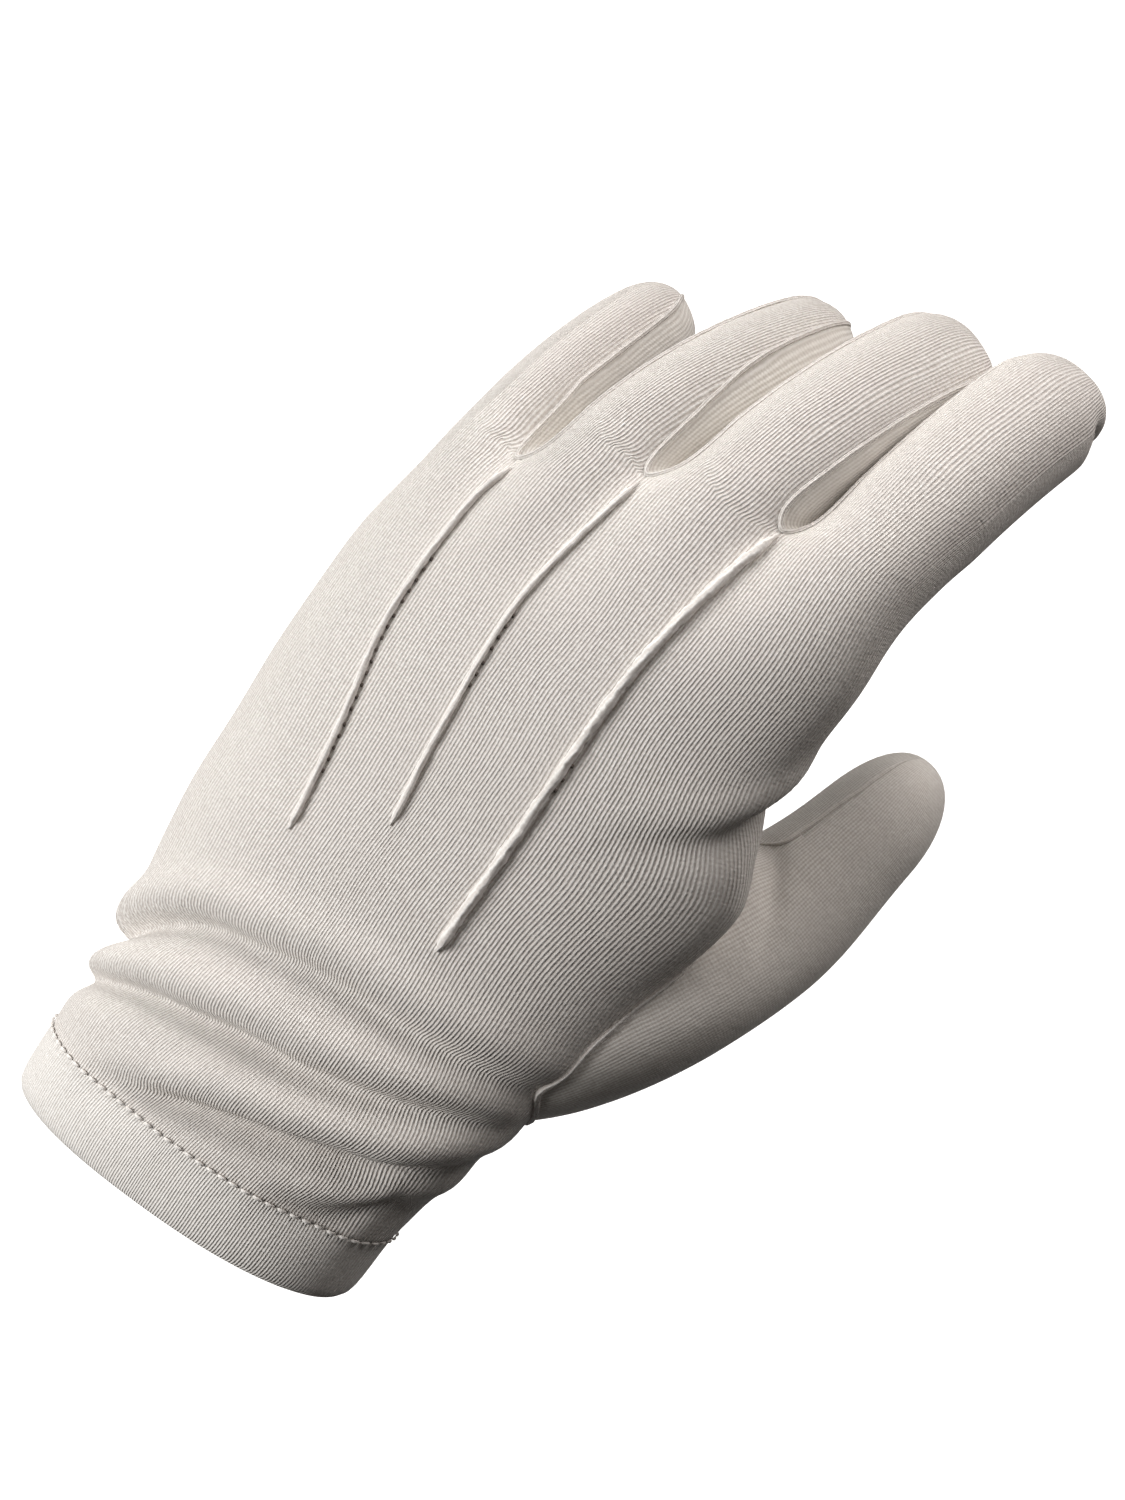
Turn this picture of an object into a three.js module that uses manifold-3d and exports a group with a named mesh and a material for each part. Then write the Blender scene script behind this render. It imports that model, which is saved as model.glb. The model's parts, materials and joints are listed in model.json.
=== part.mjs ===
// A white cotton parade glove for the left hand, in the form that it has when worn.
// Millimetres. Origin: centre of the wrist opening. +Y runs along the hand to the fingertips,
// +X points to the thumb side, +Z points up out of the back of the hand.
import * as THREE from "three";
import * as BufferGeometryUtils from "three/addons/utils/BufferGeometryUtils.js";
import Module from "manifold-3d";

const wasm = await Module();
wasm.setup();

// Driving dimensions. hand_length runs from the hem to the knuckles, and finger_length from inside
// the knuckles to the tip of the middle finger.
const hand_length = 168;
const hand_breadth = 93;
const hand_depth = 38;
const finger_length = 90;
const finger_width = 22;
const thumb_width = 25;
const cloth = 1.2;
const hem_cloth = 2.4;
const hem_depth = 14.2;
const seam_gap = 0.3;
const slot_width = 2.6;
const tuck_width = 1.8;
const tuck_height = 1.5;
const fold_depth = 4.2;
const fold_spread = 4.6;

// How finely the cloth is faceted
const body_sides = 28;
const wrist_steps = 13;
const hand_steps = 8;
const finger_sides = 14;
const finger_steps = 10;
const thumb_steps = 11;
const path_steps = 40;
const tuck_steps = 12;
const tuck_sides = 6;

// Size of a tuck's two ends, as a share of its middle.
const tuck_taper = 0.45;

// Share of hand_length where the gathered wrist ends, and where the body ends inside the fingers.
const wrist_end = 0.4;
const body_end = 1.04;

// Finish of the bleached cotton knit
const cotton = { color: 0xf1eeea, roughness: 0.95, metalness: 0 };

const radians = THREE.MathUtils.degToRad;
const lerp = THREE.MathUtils.lerp;
const vec = (x, y, z) => new THREE.Vector3(x, y, z);

// Body sections from the hem to the knuckles. along is a share of hand_length on the middle line;
// left, right are shares of hand_breadth; back, palm are shares of hand_depth; slant is the rise
// toward the fingers per unit of x; roll turns the section, in degrees; round is the exponent.
const body_sections = [
  { along: 0.0, left: -0.435, right: 0.42, back: 0.6, palm: -0.6, slant: 0.13, roll: 0, round: 2.2 },
  { along: 0.085, left: -0.44, right: 0.418, back: 0.59, palm: -0.6, slant: 0.14, roll: 0, round: 2.2 },
  { along: 0.16, left: -0.455, right: 0.44, back: 0.57, palm: -0.58, slant: 0.2, roll: 0, round: 2.2 },
  { along: 0.23, left: -0.462, right: 0.475, back: 0.56, palm: -0.57, slant: 0.24, roll: 0, round: 2.2 },
  { along: 0.3, left: -0.474, right: 0.505, back: 0.54, palm: -0.58, slant: 0.26, roll: 1, round: 2.2 },
  { along: 0.37, left: -0.485, right: 0.53, back: 0.52, palm: -0.6, slant: 0.26, roll: 2, round: 2.2 },
  { along: 0.46, left: -0.5, right: 0.54, back: 0.5, palm: -0.6, slant: 0.27, roll: 3, round: 2.2 },
  { along: 0.56, left: -0.51, right: 0.56, back: 0.48, palm: -0.58, slant: 0.28, roll: 4, round: 2.2 },
  { along: 0.66, left: -0.52, right: 0.56, back: 0.47, palm: -0.54, slant: 0.3, roll: 5, round: 2.25 },
  { along: 0.76, left: -0.52, right: 0.54, back: 0.45, palm: -0.48, slant: 0.32, roll: 6, round: 2.3 },
  { along: 0.86, left: -0.5, right: 0.54, back: 0.42, palm: -0.42, slant: 0.34, roll: 7, round: 2.4 },
  { along: 0.94, left: -0.475, right: 0.51, back: 0.37, palm: -0.34, slant: 0.34, roll: 8, round: 2.4 },
  { along: 1.01, left: -0.46, right: 0.43, back: 0.27, palm: -0.26, slant: 0.34, roll: 8, round: 2.3 },
  { along: 1.04, left: -0.42, right: 0.36, back: 0.14, palm: -0.18, slant: 0.34, roll: 8, round: 2.2 },
];

// Gathers of loose cloth round the wrist. along is a share of hand_length on the middle line; rise is
// the slope across the hand; bow is the extra drop at the two sides, a share of hand_length; deep is
// a share of fold_depth; wide is a share of fold_spread; centre, reach set the arc that the fold
// covers, in degrees from the thumb side over the back of the hand.
const wrist_folds = [
  { along: 0.345, rise: 0.14, bow: -0.05, deep: 0.8, wide: 1.0, centre: 125, reach: 80 },
  { along: 0.232, rise: 0.34, bow: 0.0, deep: 0.75, wide: 0.9, centre: 85, reach: 100 },
  { along: 0.14, rise: 0.43, bow: 0.0, deep: 1.1, wide: 1.0, centre: 60, reach: 80 },
  { along: 0.16, rise: 0.2, bow: 0.0, deep: 0.5, wide: 1.1, centre: 290, reach: 90 },
  { along: 0.27, rise: 0.1, bow: 0.0, deep: 0.6, wide: 1.2, centre: 265, reach: 90 },
];

// Fingers. x, y, z place the root as shares of hand_breadth, hand_length and hand_depth; long is a
// share of finger_length; wide, deep are shares of finger_width; lean is the heading toward +X and
// dive the heading down, in degrees at root and tip; roll turns the nail side away from +X.
const fingers = [
  { name: "little", x: -0.368, y: 0.79, z: -0.03, long: 0.78, wide: 0.84, deep: 0.8,
    lean: [0, 0], dive: [8, 72], roll: -30 },
  { name: "ring", x: -0.15, y: 0.84, z: 0.08, long: 0.86, wide: 0.98, deep: 0.88,
    lean: [0, 20], dive: [4, 72], roll: -14 },
  { name: "middle", x: 0.125, y: 0.88, z: 0.11, long: 0.92, wide: 1.17, deep: 0.94,
    lean: [2, 15], dive: [3, 68], roll: -4 },
  { name: "index", x: 0.418, y: 0.9, z: 0.08, long: 0.95, wide: 1.15, deep: 0.94,
    lean: [0, 6], dive: [4, 60], roll: 2 },
];

// Swell of a finger along its length: wide, deep are shares of its own width and depth.
const finger_swell = [
  { along: 0.0, wide: 0.8, deep: 1.0 },
  { along: 0.14, wide: 0.98, deep: 1.16 },
  { along: 0.3, wide: 1.0, deep: 1.12 },
  { along: 0.55, wide: 0.99, deep: 1.0 },
  { along: 0.8, wide: 0.97, deep: 0.97 },
  { along: 0.9, wide: 0.94, deep: 0.94 },
];

// Thumb path: x, y, z are shares of hand_breadth, hand_length and hand_depth; wide, deep are shares
// of thumb_width.
const thumb_stations = [
  { x: 0.3, y: 0.3, z: -0.22, wide: 0.9, deep: 1.15 },
  { x: 0.42, y: 0.42, z: -0.34, wide: 1.25, deep: 1.25 },
  { x: 0.53, y: 0.55, z: -0.56, wide: 1.35, deep: 1.15 },
  { x: 0.605, y: 0.66, z: -0.78, wide: 1.2, deep: 1.0 },
  { x: 0.655, y: 0.775, z: -0.98, wide: 1.0, deep: 0.88 },
  { x: 0.667, y: 0.87, z: -1.15, wide: 0.88, deep: 0.82 },
];

// Slots between neighbouring fingers. start is how far past the finger roots the slot bottom lies,
// a share of finger_length.
const slots = [
  { name: "fourchette_little_ring", between: [0, 1], start: 0.24 },
  { name: "fourchette_ring_middle", between: [1, 2], start: 0.26 },
  { name: "fourchette_middle_index", between: [2, 3], start: 0.28 },
];

// Cut between two fingers. far is the way past the slot bottom, a share of finger_length; half is a
// share of half the slot_width; lag is how much later the palm side starts, a share of finger_length.
const slot_profile = [
  { far: 0.0, half: 0.35, lag: 0.1 },
  { far: 0.01, half: 0.8, lag: 0.1 },
  { far: 0.03, half: 1.0, lag: 0.1 },
  { far: 0.18, half: 0.7, lag: 0.045 },
  { far: 0.38, half: 0.5, lag: 0.0 },
  { far: 0.6, half: 0.5, lag: 0.0 },
  { far: 0.85, half: 0.5, lag: 0.0 },
];
const slot_tall = 1.2;

// Reach of the side strip sewn into a slot: it takes in the finger walls beside the cut. far, lag are
// shares of finger_length; half, tall are half its width and height as shares of finger_width.
const strip_profile = [
  { far: -0.024, half: 0.073, tall: 0.59, lag: 0.055 },
  { far: -0.013, half: 0.136, tall: 0.59, lag: 0.055 },
  { far: 0.039, half: 0.18, tall: 0.52, lag: 0.044 },
  { far: 0.11, half: 0.227, tall: 0.41, lag: 0.022 },
  { far: 0.22, half: 0.255, tall: 0.32, lag: 0.0 },
  { far: 0.44, half: 0.255, tall: 0.27, lag: 0.0 },
  { far: 0.62, half: 0.136, tall: 0.16, lag: 0.0 },
];

// Tucks down the back of the hand, from the slot bottom to the wrist. wide is a share of tuck_width
// and of tuck_height; x, y are shares of hand_breadth and hand_length.
const tucks = [
  { name: "tuck_little_ring", wide: 0.95, line: [
    { x: -0.27, y: 0.92 },
    { x: -0.295, y: 0.86 },
    { x: -0.29, y: 0.71 },
    { x: -0.24, y: 0.59 },
    { x: -0.19, y: 0.45 },
  ] },
  { name: "tuck_ring_middle", wide: 0.85, line: [
    { x: -0.03, y: 1.0 },
    { x: -0.07, y: 0.83 },
    { x: -0.035, y: 0.66 },
    { x: 0.005, y: 0.54 },
  ] },
  { name: "tuck_middle_index", wide: 1.15, line: [
    { x: 0.26, y: 1.05 },
    { x: 0.235, y: 0.96 },
    { x: 0.215, y: 0.84 },
    { x: 0.215, y: 0.7 },
    { x: 0.22, y: 0.46 },
  ] },
];

// Turned-up band round the opening. up is a share of hem_depth; out, in say how far its outer and
// inner faces stand outside and inside the body's form, as shares of hem_cloth.
const hem_profile = [
  { up: 0.0, out: -0.2, in: 0.72 },
  { up: 0.06, out: 0.0, in: 0.86 },
  { up: 0.45, out: 0.15, in: 0.86 },
  { up: 0.85, out: 0.15, in: 0.86 },
  { up: 1.0, out: 0.04, in: 0.86 },
];

// Reads one column of a table at a given place, easing smoothly between its rows.
function column(table, at, key) {
  const last = table.length - 1;
  let i = 0;
  while (i < last - 1 && table[i + 1].along < at) i += 1;
  const from = table[i];
  const to = table[i + 1];
  const t = THREE.MathUtils.clamp((at - from.along) / (to.along - from.along), 0, 1);
  const before = table[Math.max(i - 1, 0)];
  const after = table[Math.min(i + 2, last)];
  const span = to.along - from.along;
  const slope = (a, b) => (b.along > a.along ? (b[key] - a[key]) / (b.along - a.along) : 0);
  const m0 = slope(before, to) * span;
  const m1 = slope(from, after) * span;
  const t2 = t * t;
  const t3 = t2 * t;
  return (2 * t3 - 3 * t2 + 1) * from[key] + (t3 - 2 * t2 + t) * m0
    + (3 * t2 - 2 * t3) * to[key] + (t3 - t2) * m1;
}

// Point of a superellipse at an angle, with unit half-sizes.
function superellipse(angle, exponent) {
  const c = Math.cos(angle);
  const s = Math.sin(angle);
  const power = 2 / exponent;
  return [Math.sign(c) * Math.abs(c) ** power, Math.sign(s) * Math.abs(s) ** power];
}

// Joins rings of points into one closed geometry, with a fan over each end.
function loft(rings) {
  const sides = rings[0].length;
  const positions = rings.flat().flatMap((p) => [p.x, p.y, p.z]);
  const centre = (ring) => ring.reduce((sum, p) => sum.add(p), vec(0, 0, 0)).divideScalar(sides);
  const first = rings.length * sides;
  for (const ring of [rings[0], rings[rings.length - 1]]) {
    const middle = centre(ring.map((p) => p.clone()));
    positions.push(middle.x, middle.y, middle.z);
  }
  const index = [];
  for (let r = 0; r < rings.length - 1; r += 1) {
    for (let i = 0; i < sides; i += 1) {
      const a = r * sides + i;
      const b = r * sides + (i + 1) % sides;
      index.push(a, a + sides, b, b, a + sides, b + sides);
    }
  }
  const end = (rings.length - 1) * sides;
  for (let i = 0; i < sides; i += 1) {
    const j = (i + 1) % sides;
    index.push(first, i, j);
    index.push(first + 1, end + j, end + i);
  }
  const geometry = new THREE.BufferGeometry();
  geometry.setAttribute("position", new THREE.Float32BufferAttribute(positions, 3));
  geometry.setIndex(index);
  return geometry;
}

// Closed geometry to a solid, with its faces turned outward.
function solid(geometry) {
  const merged = BufferGeometryUtils.mergeVertices(geometry, 1e-5);
  const make = (triangles) => new wasm.Manifold(new wasm.Mesh({
    numProp: 3,
    vertProperties: new Float32Array(merged.attributes.position.array),
    triVerts: new Uint32Array(triangles),
  }));
  const index = Array.from(merged.index.array);
  const made = make(index);
  if (made.volume() > 0) return made;
  const turned = [];
  for (let i = 0; i < index.length; i += 3) turned.push(index[i], index[i + 2], index[i + 1]);
  return make(turned);
}

// Ring of the body at a place along the hand, drawn in by inset.
function bodyRing(along, inset) {
  const at = (key) => column(body_sections, along, key);
  const left = at("left") * hand_breadth + inset;
  const right = at("right") * hand_breadth - inset;
  const back = at("back") * hand_depth - inset;
  const palm = at("palm") * hand_depth + inset;
  const cx = (left + right) / 2;
  const cz = (back + palm) / 2;
  const turn = radians(at("roll"));
  const ring = [];
  for (let i = 0; i < body_sides; i += 1) {
    const angle = (2 * Math.PI * i) / body_sides;
    const [c, s] = superellipse(angle, at("round"));
    const across = cx + (c * (right - left)) / 2;
    const fold = gather(along * hand_length + at("slant") * across, across, angle);
    const dx = c * ((right - left) / 2 - fold);
    const dz = s * ((back - palm) / 2 - fold);
    const x = cx + dx * Math.cos(turn) - dz * Math.sin(turn);
    const z = cz + dx * Math.sin(turn) + dz * Math.cos(turn);
    ring.push(vec(x, along * hand_length + at("slant") * x, z));
  }
  return ring;
}

// How far the gathers draw the cloth in at a place on the plan and an angle round the wrist.
function gather(y, x, angle) {
  let sum = 0;
  for (const fold of wrist_folds) {
    const side = (2 * x) / hand_breadth;
    const valley = fold.along * hand_length + fold.rise * x + fold.bow * hand_length * side * side;
    const away = (y - valley) / (fold.wide * fold_spread);
    let turn = Math.abs(THREE.MathUtils.radToDeg(angle) - fold.centre);
    if (turn > 180) turn = 360 - turn;
    const cover = turn < fold.reach ? Math.cos((turn / fold.reach) * (Math.PI / 2)) : 0;
    sum += fold.deep * fold_depth * cover * Math.exp(-away * away);
  }
  return sum;
}

// Centre line of a finger with its across, up and ahead directions at each step.
function fingerPath(finger) {
  const stations = [];
  const place = vec(finger.x * hand_breadth, finger.y * hand_length, finger.z * hand_depth);
  const step = (finger.long * finger_length) / path_steps;
  for (let i = 0; i <= path_steps; i += 1) {
    const t = i / path_steps;
    const lean = radians(lerp(finger.lean[0], finger.lean[1], t));
    const dive = radians(lerp(finger.dive[0], finger.dive[1], t ** dive_delay));
    const ahead = vec(
      Math.sin(lean) * Math.cos(dive), Math.cos(lean) * Math.cos(dive), -Math.sin(dive));
    const across = vec(Math.cos(lean), -Math.sin(lean), 0);
    const up = across.clone().cross(ahead);
    const roll = radians(-finger.roll);
    const acrossTurned = across.clone().applyAxisAngle(ahead, roll);
    const upTurned = up.clone().applyAxisAngle(ahead, roll);
    stations.push({ place: place.clone(), ahead, across: acrossTurned, up: upTurned });
    place.addScaledVector(ahead, step);
  }
  return stations;
}

// A station at any share of a path.
function pathAt(path, share) {
  const last = path.length - 1;
  const at = THREE.MathUtils.clamp(share, 0, 1) * last;
  const i = Math.min(Math.floor(at), last - 1);
  const t = at - i;
  const mix = (key) => path[i][key].clone().lerp(path[i + 1][key], t);
  const over = Math.max(share - 1, 0) * last * path[0].place.distanceTo(path[1].place);
  const ahead = mix("ahead").normalize();
  return {
    place: mix("place").addScaledVector(ahead, over),
    ahead,
    across: mix("across").normalize(),
    up: mix("up").normalize(),
  };
}

// A fingertip rounds off over the last part of its length, from cap_start, in a few steps that close
// up toward the end; cap_round is the exponent of its rounding and cap_last leaves a small flat.
const cap_start = 0.84;
const cap_steps = 4;
const cap_round = 2.3;
const cap_last = 0.97;

// Exponents of the finger and thumb sections, and how late along a finger its dive comes.
const finger_round = 2.4;
const thumb_round = 2.2;
const dive_delay = 1.25;

// Rings of a blunt tube along a path, drawn in by inset, with a rounded tip.
function tubeRings(path, length, steps, sizeAt, exponent, inset) {
  const rings = [];
  const end = 1 - inset / length;
  for (let i = 0; i <= steps; i += 1) {
    const straight = steps - cap_steps;
    const inCap = i > straight;
    const turn = ((i - straight) / cap_steps) * (Math.PI / 2) * cap_last;
    const capShare = inCap ? Math.sin(turn) : 0;
    const share = inCap ? lerp(cap_start * end, end, capShare) : (cap_start * end * i) / straight;
    const station = pathAt(path, share);
    const shrink = (1 - capShare ** cap_round) ** (1 / cap_round);
    const size = sizeAt(share);
    const half = (side) => (side / 2 - inset) * shrink;
    const ring = [];
    for (let k = 0; k < finger_sides; k += 1) {
      const [c, s] = superellipse((2 * Math.PI * k) / finger_sides, exponent);
      ring.push(station.place.clone()
        .addScaledVector(station.across, c * half(size.wide))
        .addScaledVector(station.up, s * half(size.deep)));
    }
    rings.push(ring);
  }
  return rings;
}

function fingerSolid(finger, path, inset) {
  const sizeAt = (share) => {
    const at = (key) => finger[key] * finger_width * column(finger_swell, share, key);
    return { wide: at("wide"), deep: at("deep") };
  };
  const length = finger.long * finger_length;
  return solid(loft(tubeRings(path, length, finger_steps, sizeAt, finger_round, inset)));
}

// Thumb path through its stations, turned so that the nail side faces up and outward.
function thumbPath() {
  const points = thumb_stations.map((s) => vec(
    s.x * hand_breadth, s.y * hand_length, s.z * hand_depth));
  const curve = new THREE.CatmullRomCurve3(points);
  const path = [];
  for (let i = 0; i <= path_steps; i += 1) {
    const ahead = curve.getTangentAt(i / path_steps);
    const across = vec(ahead.y, -ahead.x, 0).normalize();
    const up = across.clone().cross(ahead).normalize();
    path.push({ place: curve.getPointAt(i / path_steps), ahead, across, up });
  }
  return { path, length: curve.getLength() };
}

const thumb_profile = thumb_stations.map((s, i) => ({
  along: i / (thumb_stations.length - 1), wide: s.wide, deep: s.deep }));

function thumbSolid(inset) {
  const { path, length } = thumbPath();
  const sizeAt = (share) => ({
    wide: column(thumb_profile, share, "wide") * thumb_width,
    deep: column(thumb_profile, share, "deep") * thumb_width,
  });
  return solid(loft(tubeRings(path, length, thumb_steps, sizeAt, thumb_round, inset)));
}

// A blade between two fingers. Each row gives its half thickness and half height at a distance far
// past the slot bottom; the palm side starts later by twice the lag.
function blade(slot, rows) {
  const [a, b] = slot.between.map((i) => paths[i]);
  const [la, lb] = slot.between.map((i) => fingers[i].long * finger_length);
  const rings = rows.map((row) => {
    const far = slot.start * finger_length + row.far;
    const one = pathAt(a, far / la);
    const two = pathAt(b, far / lb);
    const middle = one.place.clone().add(two.place).multiplyScalar(0.5);
    const ahead = one.ahead.clone().add(two.ahead).normalize();
    const apart = two.place.clone().sub(one.place);
    const across = apart.addScaledVector(ahead, -apart.dot(ahead)).normalize();
    const up = across.clone().cross(ahead);
    const corner = (side, height) => middle.clone()
      .addScaledVector(across, side * row.half)
      .addScaledVector(up, height * row.tall)
      .addScaledVector(ahead, row.lag * (1 - height));
    return [corner(1, -1), corner(1, 1), corner(-1, 1), corner(-1, -1)];
  });
  return solid(loft(rings));
}

// The cut itself, grown on all sides.
function slotBlade(slot, grow) {
  return blade(slot, slot_profile.map((row) => ({
    far: row.far * finger_length - (row.lag > 0 ? grow : 0),
    half: row.half * (slot_width / 2 + grow),
    tall: slot_tall * finger_width,
    lag: row.lag * finger_length,
  })));
}

// The space of the side strip, grown on all sides.
function stripBlade(slot, grow) {
  const last = strip_profile.length - 1;
  return blade(slot, strip_profile.map((row, i) => ({
    far: row.far * finger_length + (i === 0 ? -grow : 0) + (i === last ? grow : 0),
    half: row.half * finger_width + grow,
    tall: row.tall * finger_width + grow,
    lag: row.lag * finger_length,
  })));
}

const paths = fingers.map(fingerPath);

// Cloth wall of the hand: body and fingers joined, less the same forms drawn in by the cloth.
function handForm(inset) {
  const stations = [];
  const start = (hem_depth + seam_gap) / hand_length;
  const end = body_end - inset / hand_length;
  for (let i = 0; i < wrist_steps; i += 1) stations.push(lerp(start, wrist_end, i / wrist_steps));
  for (let i = 0; i <= hand_steps; i += 1) stations.push(lerp(wrist_end, end, i / hand_steps));
  const rings = stations.map((along) => bodyRing(along, inset));
  if (inset > 0) rings.unshift(bodyRing(start - hem_cloth / hand_length, inset));
  let form = solid(loft(rings));
  fingers.forEach((finger, i) => {
    form = form.add(fingerSolid(finger, paths[i], inset));
  });
  return form;
}

// Turns a solid into a mesh with the cotton's finish.
function mesh(name, made) {
  const got = made.getMesh();
  const geometry = new THREE.BufferGeometry();
  geometry.setAttribute("position", new THREE.Float32BufferAttribute(got.vertProperties, 3));
  geometry.setIndex(Array.from(got.triVerts));
  const item = new THREE.Mesh(geometry, new THREE.MeshStandardMaterial(cotton));
  item.name = name;
  return item;
}

// The main body of a solid, without the slivers that a grazing cut leaves.
function largest(made) {
  return made.decompose().sort((a, b) => b.volume() - a.volume())[0];
}

const outer = handForm(0);
const handGrown = handForm(-seam_gap);
const caster = new THREE.Raycaster();
const skin = mesh("skin", outer);

// Height of the back of the hand over a place on the plan.
function backHeight(x, y) {
  caster.set(vec(x, y, 3 * hand_depth), vec(0, 0, -1));
  return caster.intersectObject(skin)[0].point.z;
}

// A raised tuck: a low ridge of pinched cloth along its line, tapered at both ends.
function tuckSolid(tuck) {
  const plan = new THREE.CatmullRomCurve3(tuck.line.map((row) => vec(
    row.x * hand_breadth, row.y * hand_length, 0)));
  const half = (tuck.wide * tuck_width) / 2;
  const tall = tuck.wide * tuck_height;
  const rings = [];
  for (let i = 0; i <= tuck_steps; i += 1) {
    const at = plan.getPointAt(i / tuck_steps);
    const ahead = plan.getTangentAt(i / tuck_steps);
    const across = vec(ahead.y, -ahead.x, 0);
    at.z = backHeight(at.x, at.y) + seam_gap;
    const taper = i === 0 || i === tuck_steps ? tuck_taper : 1;
    const ring = [];
    for (let k = 0; k < tuck_sides; k += 1) {
      const angle = (2 * Math.PI * k) / tuck_sides;
      const point = at.clone().addScaledVector(across, Math.cos(angle) * half * taper);
      point.z += Math.sin(angle) * tall * taper;
      ring.push(point);
    }
    rings.push(ring);
  }
  return solid(loft(rings)).subtract(handGrown);
}

// The trank and its side strips: one cloth wall with the slots cut, then parted along the seams.
const pieces = {};
let hollow = handForm(cloth);
let wall = outer;
for (const slot of slots) {
  wall = wall.subtract(slotBlade(slot, 0));
  hollow = hollow.subtract(slotBlade(slot, cloth));
}
wall = wall.subtract(hollow);
for (const slot of slots) pieces[slot.name] = largest(wall.intersect(stripBlade(slot, 0)));
for (const slot of slots) wall = wall.subtract(stripBlade(slot, seam_gap));

// The thumb: a tube set on to the hand, with the hole that it opens from.
const thumb_hollow = thumbSolid(cloth);
pieces.thumb = largest(thumbSolid(0).subtract(thumb_hollow).subtract(handGrown));
pieces.trank = largest(wall.subtract(thumb_hollow));

// The tucks on the back
for (const tuck of tucks) pieces[tuck.name] = largest(tuckSolid(tuck));

// The turned-up hem
const hemRings = (key) => hem_profile.map((row) => bodyRing(
  (row.up * hem_depth) / hand_length, (key === "out" ? -row.out : row.in) * hem_cloth));
const below = bodyRing(-hem_cloth / hand_length, hem_profile[0].in * hem_cloth);
const above = bodyRing((hem_depth + hem_cloth) / hand_length, hem_profile.at(-1).in * hem_cloth);
const hem_hollow = solid(loft([below, ...hemRings("in"), above]));
pieces.cuff_hem = solid(loft(hemRings("out"))).subtract(hem_hollow);

const glove = new THREE.Group();
for (const [name, made] of Object.entries(pieces)) glove.add(mesh(name, made));

export default glove;
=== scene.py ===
# %% [markdown]
# A white cotton parade glove for the left hand, in the form that it has when worn.
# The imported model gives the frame: the same sizes and the same nine solids. Here each solid gets a
# piece of knitted cloth in its place, with the folds, seams, tucks and stitches of the real glove.
# Lengths below are millimetres, and each mesh is written in metres.

# %% Load the frame
import json
import math
import bpy
import numpy as np
from mathutils import Matrix, Vector, noise
from mathutils.bvhtree import BVHTree

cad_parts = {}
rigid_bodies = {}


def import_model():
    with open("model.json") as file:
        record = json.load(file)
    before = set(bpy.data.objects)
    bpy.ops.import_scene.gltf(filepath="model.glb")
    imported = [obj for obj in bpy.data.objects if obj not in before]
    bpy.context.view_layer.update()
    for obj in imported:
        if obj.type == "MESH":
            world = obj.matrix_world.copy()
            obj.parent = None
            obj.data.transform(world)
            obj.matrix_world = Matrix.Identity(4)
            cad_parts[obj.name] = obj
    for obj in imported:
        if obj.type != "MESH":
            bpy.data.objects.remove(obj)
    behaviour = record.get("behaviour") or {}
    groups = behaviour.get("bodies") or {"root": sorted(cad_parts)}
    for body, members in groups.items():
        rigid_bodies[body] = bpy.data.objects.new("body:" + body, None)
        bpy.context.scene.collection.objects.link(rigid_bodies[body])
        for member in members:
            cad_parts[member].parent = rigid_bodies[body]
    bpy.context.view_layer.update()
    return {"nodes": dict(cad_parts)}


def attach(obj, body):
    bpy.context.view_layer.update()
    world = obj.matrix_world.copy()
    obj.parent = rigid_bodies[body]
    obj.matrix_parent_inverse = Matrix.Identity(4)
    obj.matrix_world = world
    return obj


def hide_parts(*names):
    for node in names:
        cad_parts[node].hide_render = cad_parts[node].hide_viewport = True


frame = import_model()
bpy.ops.object.select_all(action="DESELECT")
print("nodes:", sorted(frame["nodes"]))

# %% [markdown]
# The sizes are those of the part's source. hand_length runs from the hem to the knuckles, and a
# table holds shares of these sizes, so one change of a size carries through every piece.

# %% Sizes of the glove
MM = 0.001
hand_length = 168.0
hand_breadth = 93.0
hand_depth = 38.0
finger_length = 90.0
finger_width = 22.0
thumb_width = 25.0
cloth = 1.2
hem_depth = 14.2
fold_depth = 5.5
rib = 0.8
print("hand", hand_length, "by", hand_breadth, "mm")

# %% [markdown]
# A glove has no straight line in it, so its body is described by sections, as a boat's hull is. Each
# row is one slice: how far it lies along the hand, how far it reaches to the left and the right as
# shares of hand_breadth, to the back and the palm as shares of hand_depth, and how it slants, rolls
# and rounds off.

# %% Sections of the hand, from the hem to the finger roots
body_columns = ("along", "left", "right", "back", "palm", "slant", "roll", "round")
body_rows = [
    (0.0, -0.425, 0.425, 0.6, -0.6, 0.105, 0, 2.2),
    (0.085, -0.432, 0.432, 0.59, -0.6, 0.12, 0, 2.2),
    (0.16, -0.44, 0.475, 0.57, -0.58, 0.18, 0, 2.2),
    (0.23, -0.437, 0.51, 0.56, -0.57, 0.24, 0, 2.2),
    (0.3, -0.447, 0.52, 0.54, -0.58, 0.26, 1, 2.2),
    (0.37, -0.475, 0.535, 0.52, -0.6, 0.26, 2, 2.2),
    (0.46, -0.5, 0.54, 0.5, -0.6, 0.27, 3, 2.2),
    (0.56, -0.51, 0.56, 0.48, -0.58, 0.28, 4, 2.2),
    (0.66, -0.52, 0.56, 0.47, -0.54, 0.3, 5, 2.25),
    (0.76, -0.52, 0.542, 0.45, -0.48, 0.32, 6, 2.3),
    (0.86, -0.52, 0.545, 0.42, -0.42, 0.34, 7, 2.4),
    (0.94, -0.514, 0.54, 0.38, -0.36, 0.34, 8, 2.4),
    (1.01, -0.504, 0.533, 0.34, -0.3, 0.34, 8, 2.4),
    (1.12, -0.46, 0.52, 0.28, -0.27, 0.34, 8, 2.4),
]
body_sections = [dict(zip(body_columns, row)) for row in body_rows]
print(len(body_sections), "sections")


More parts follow.
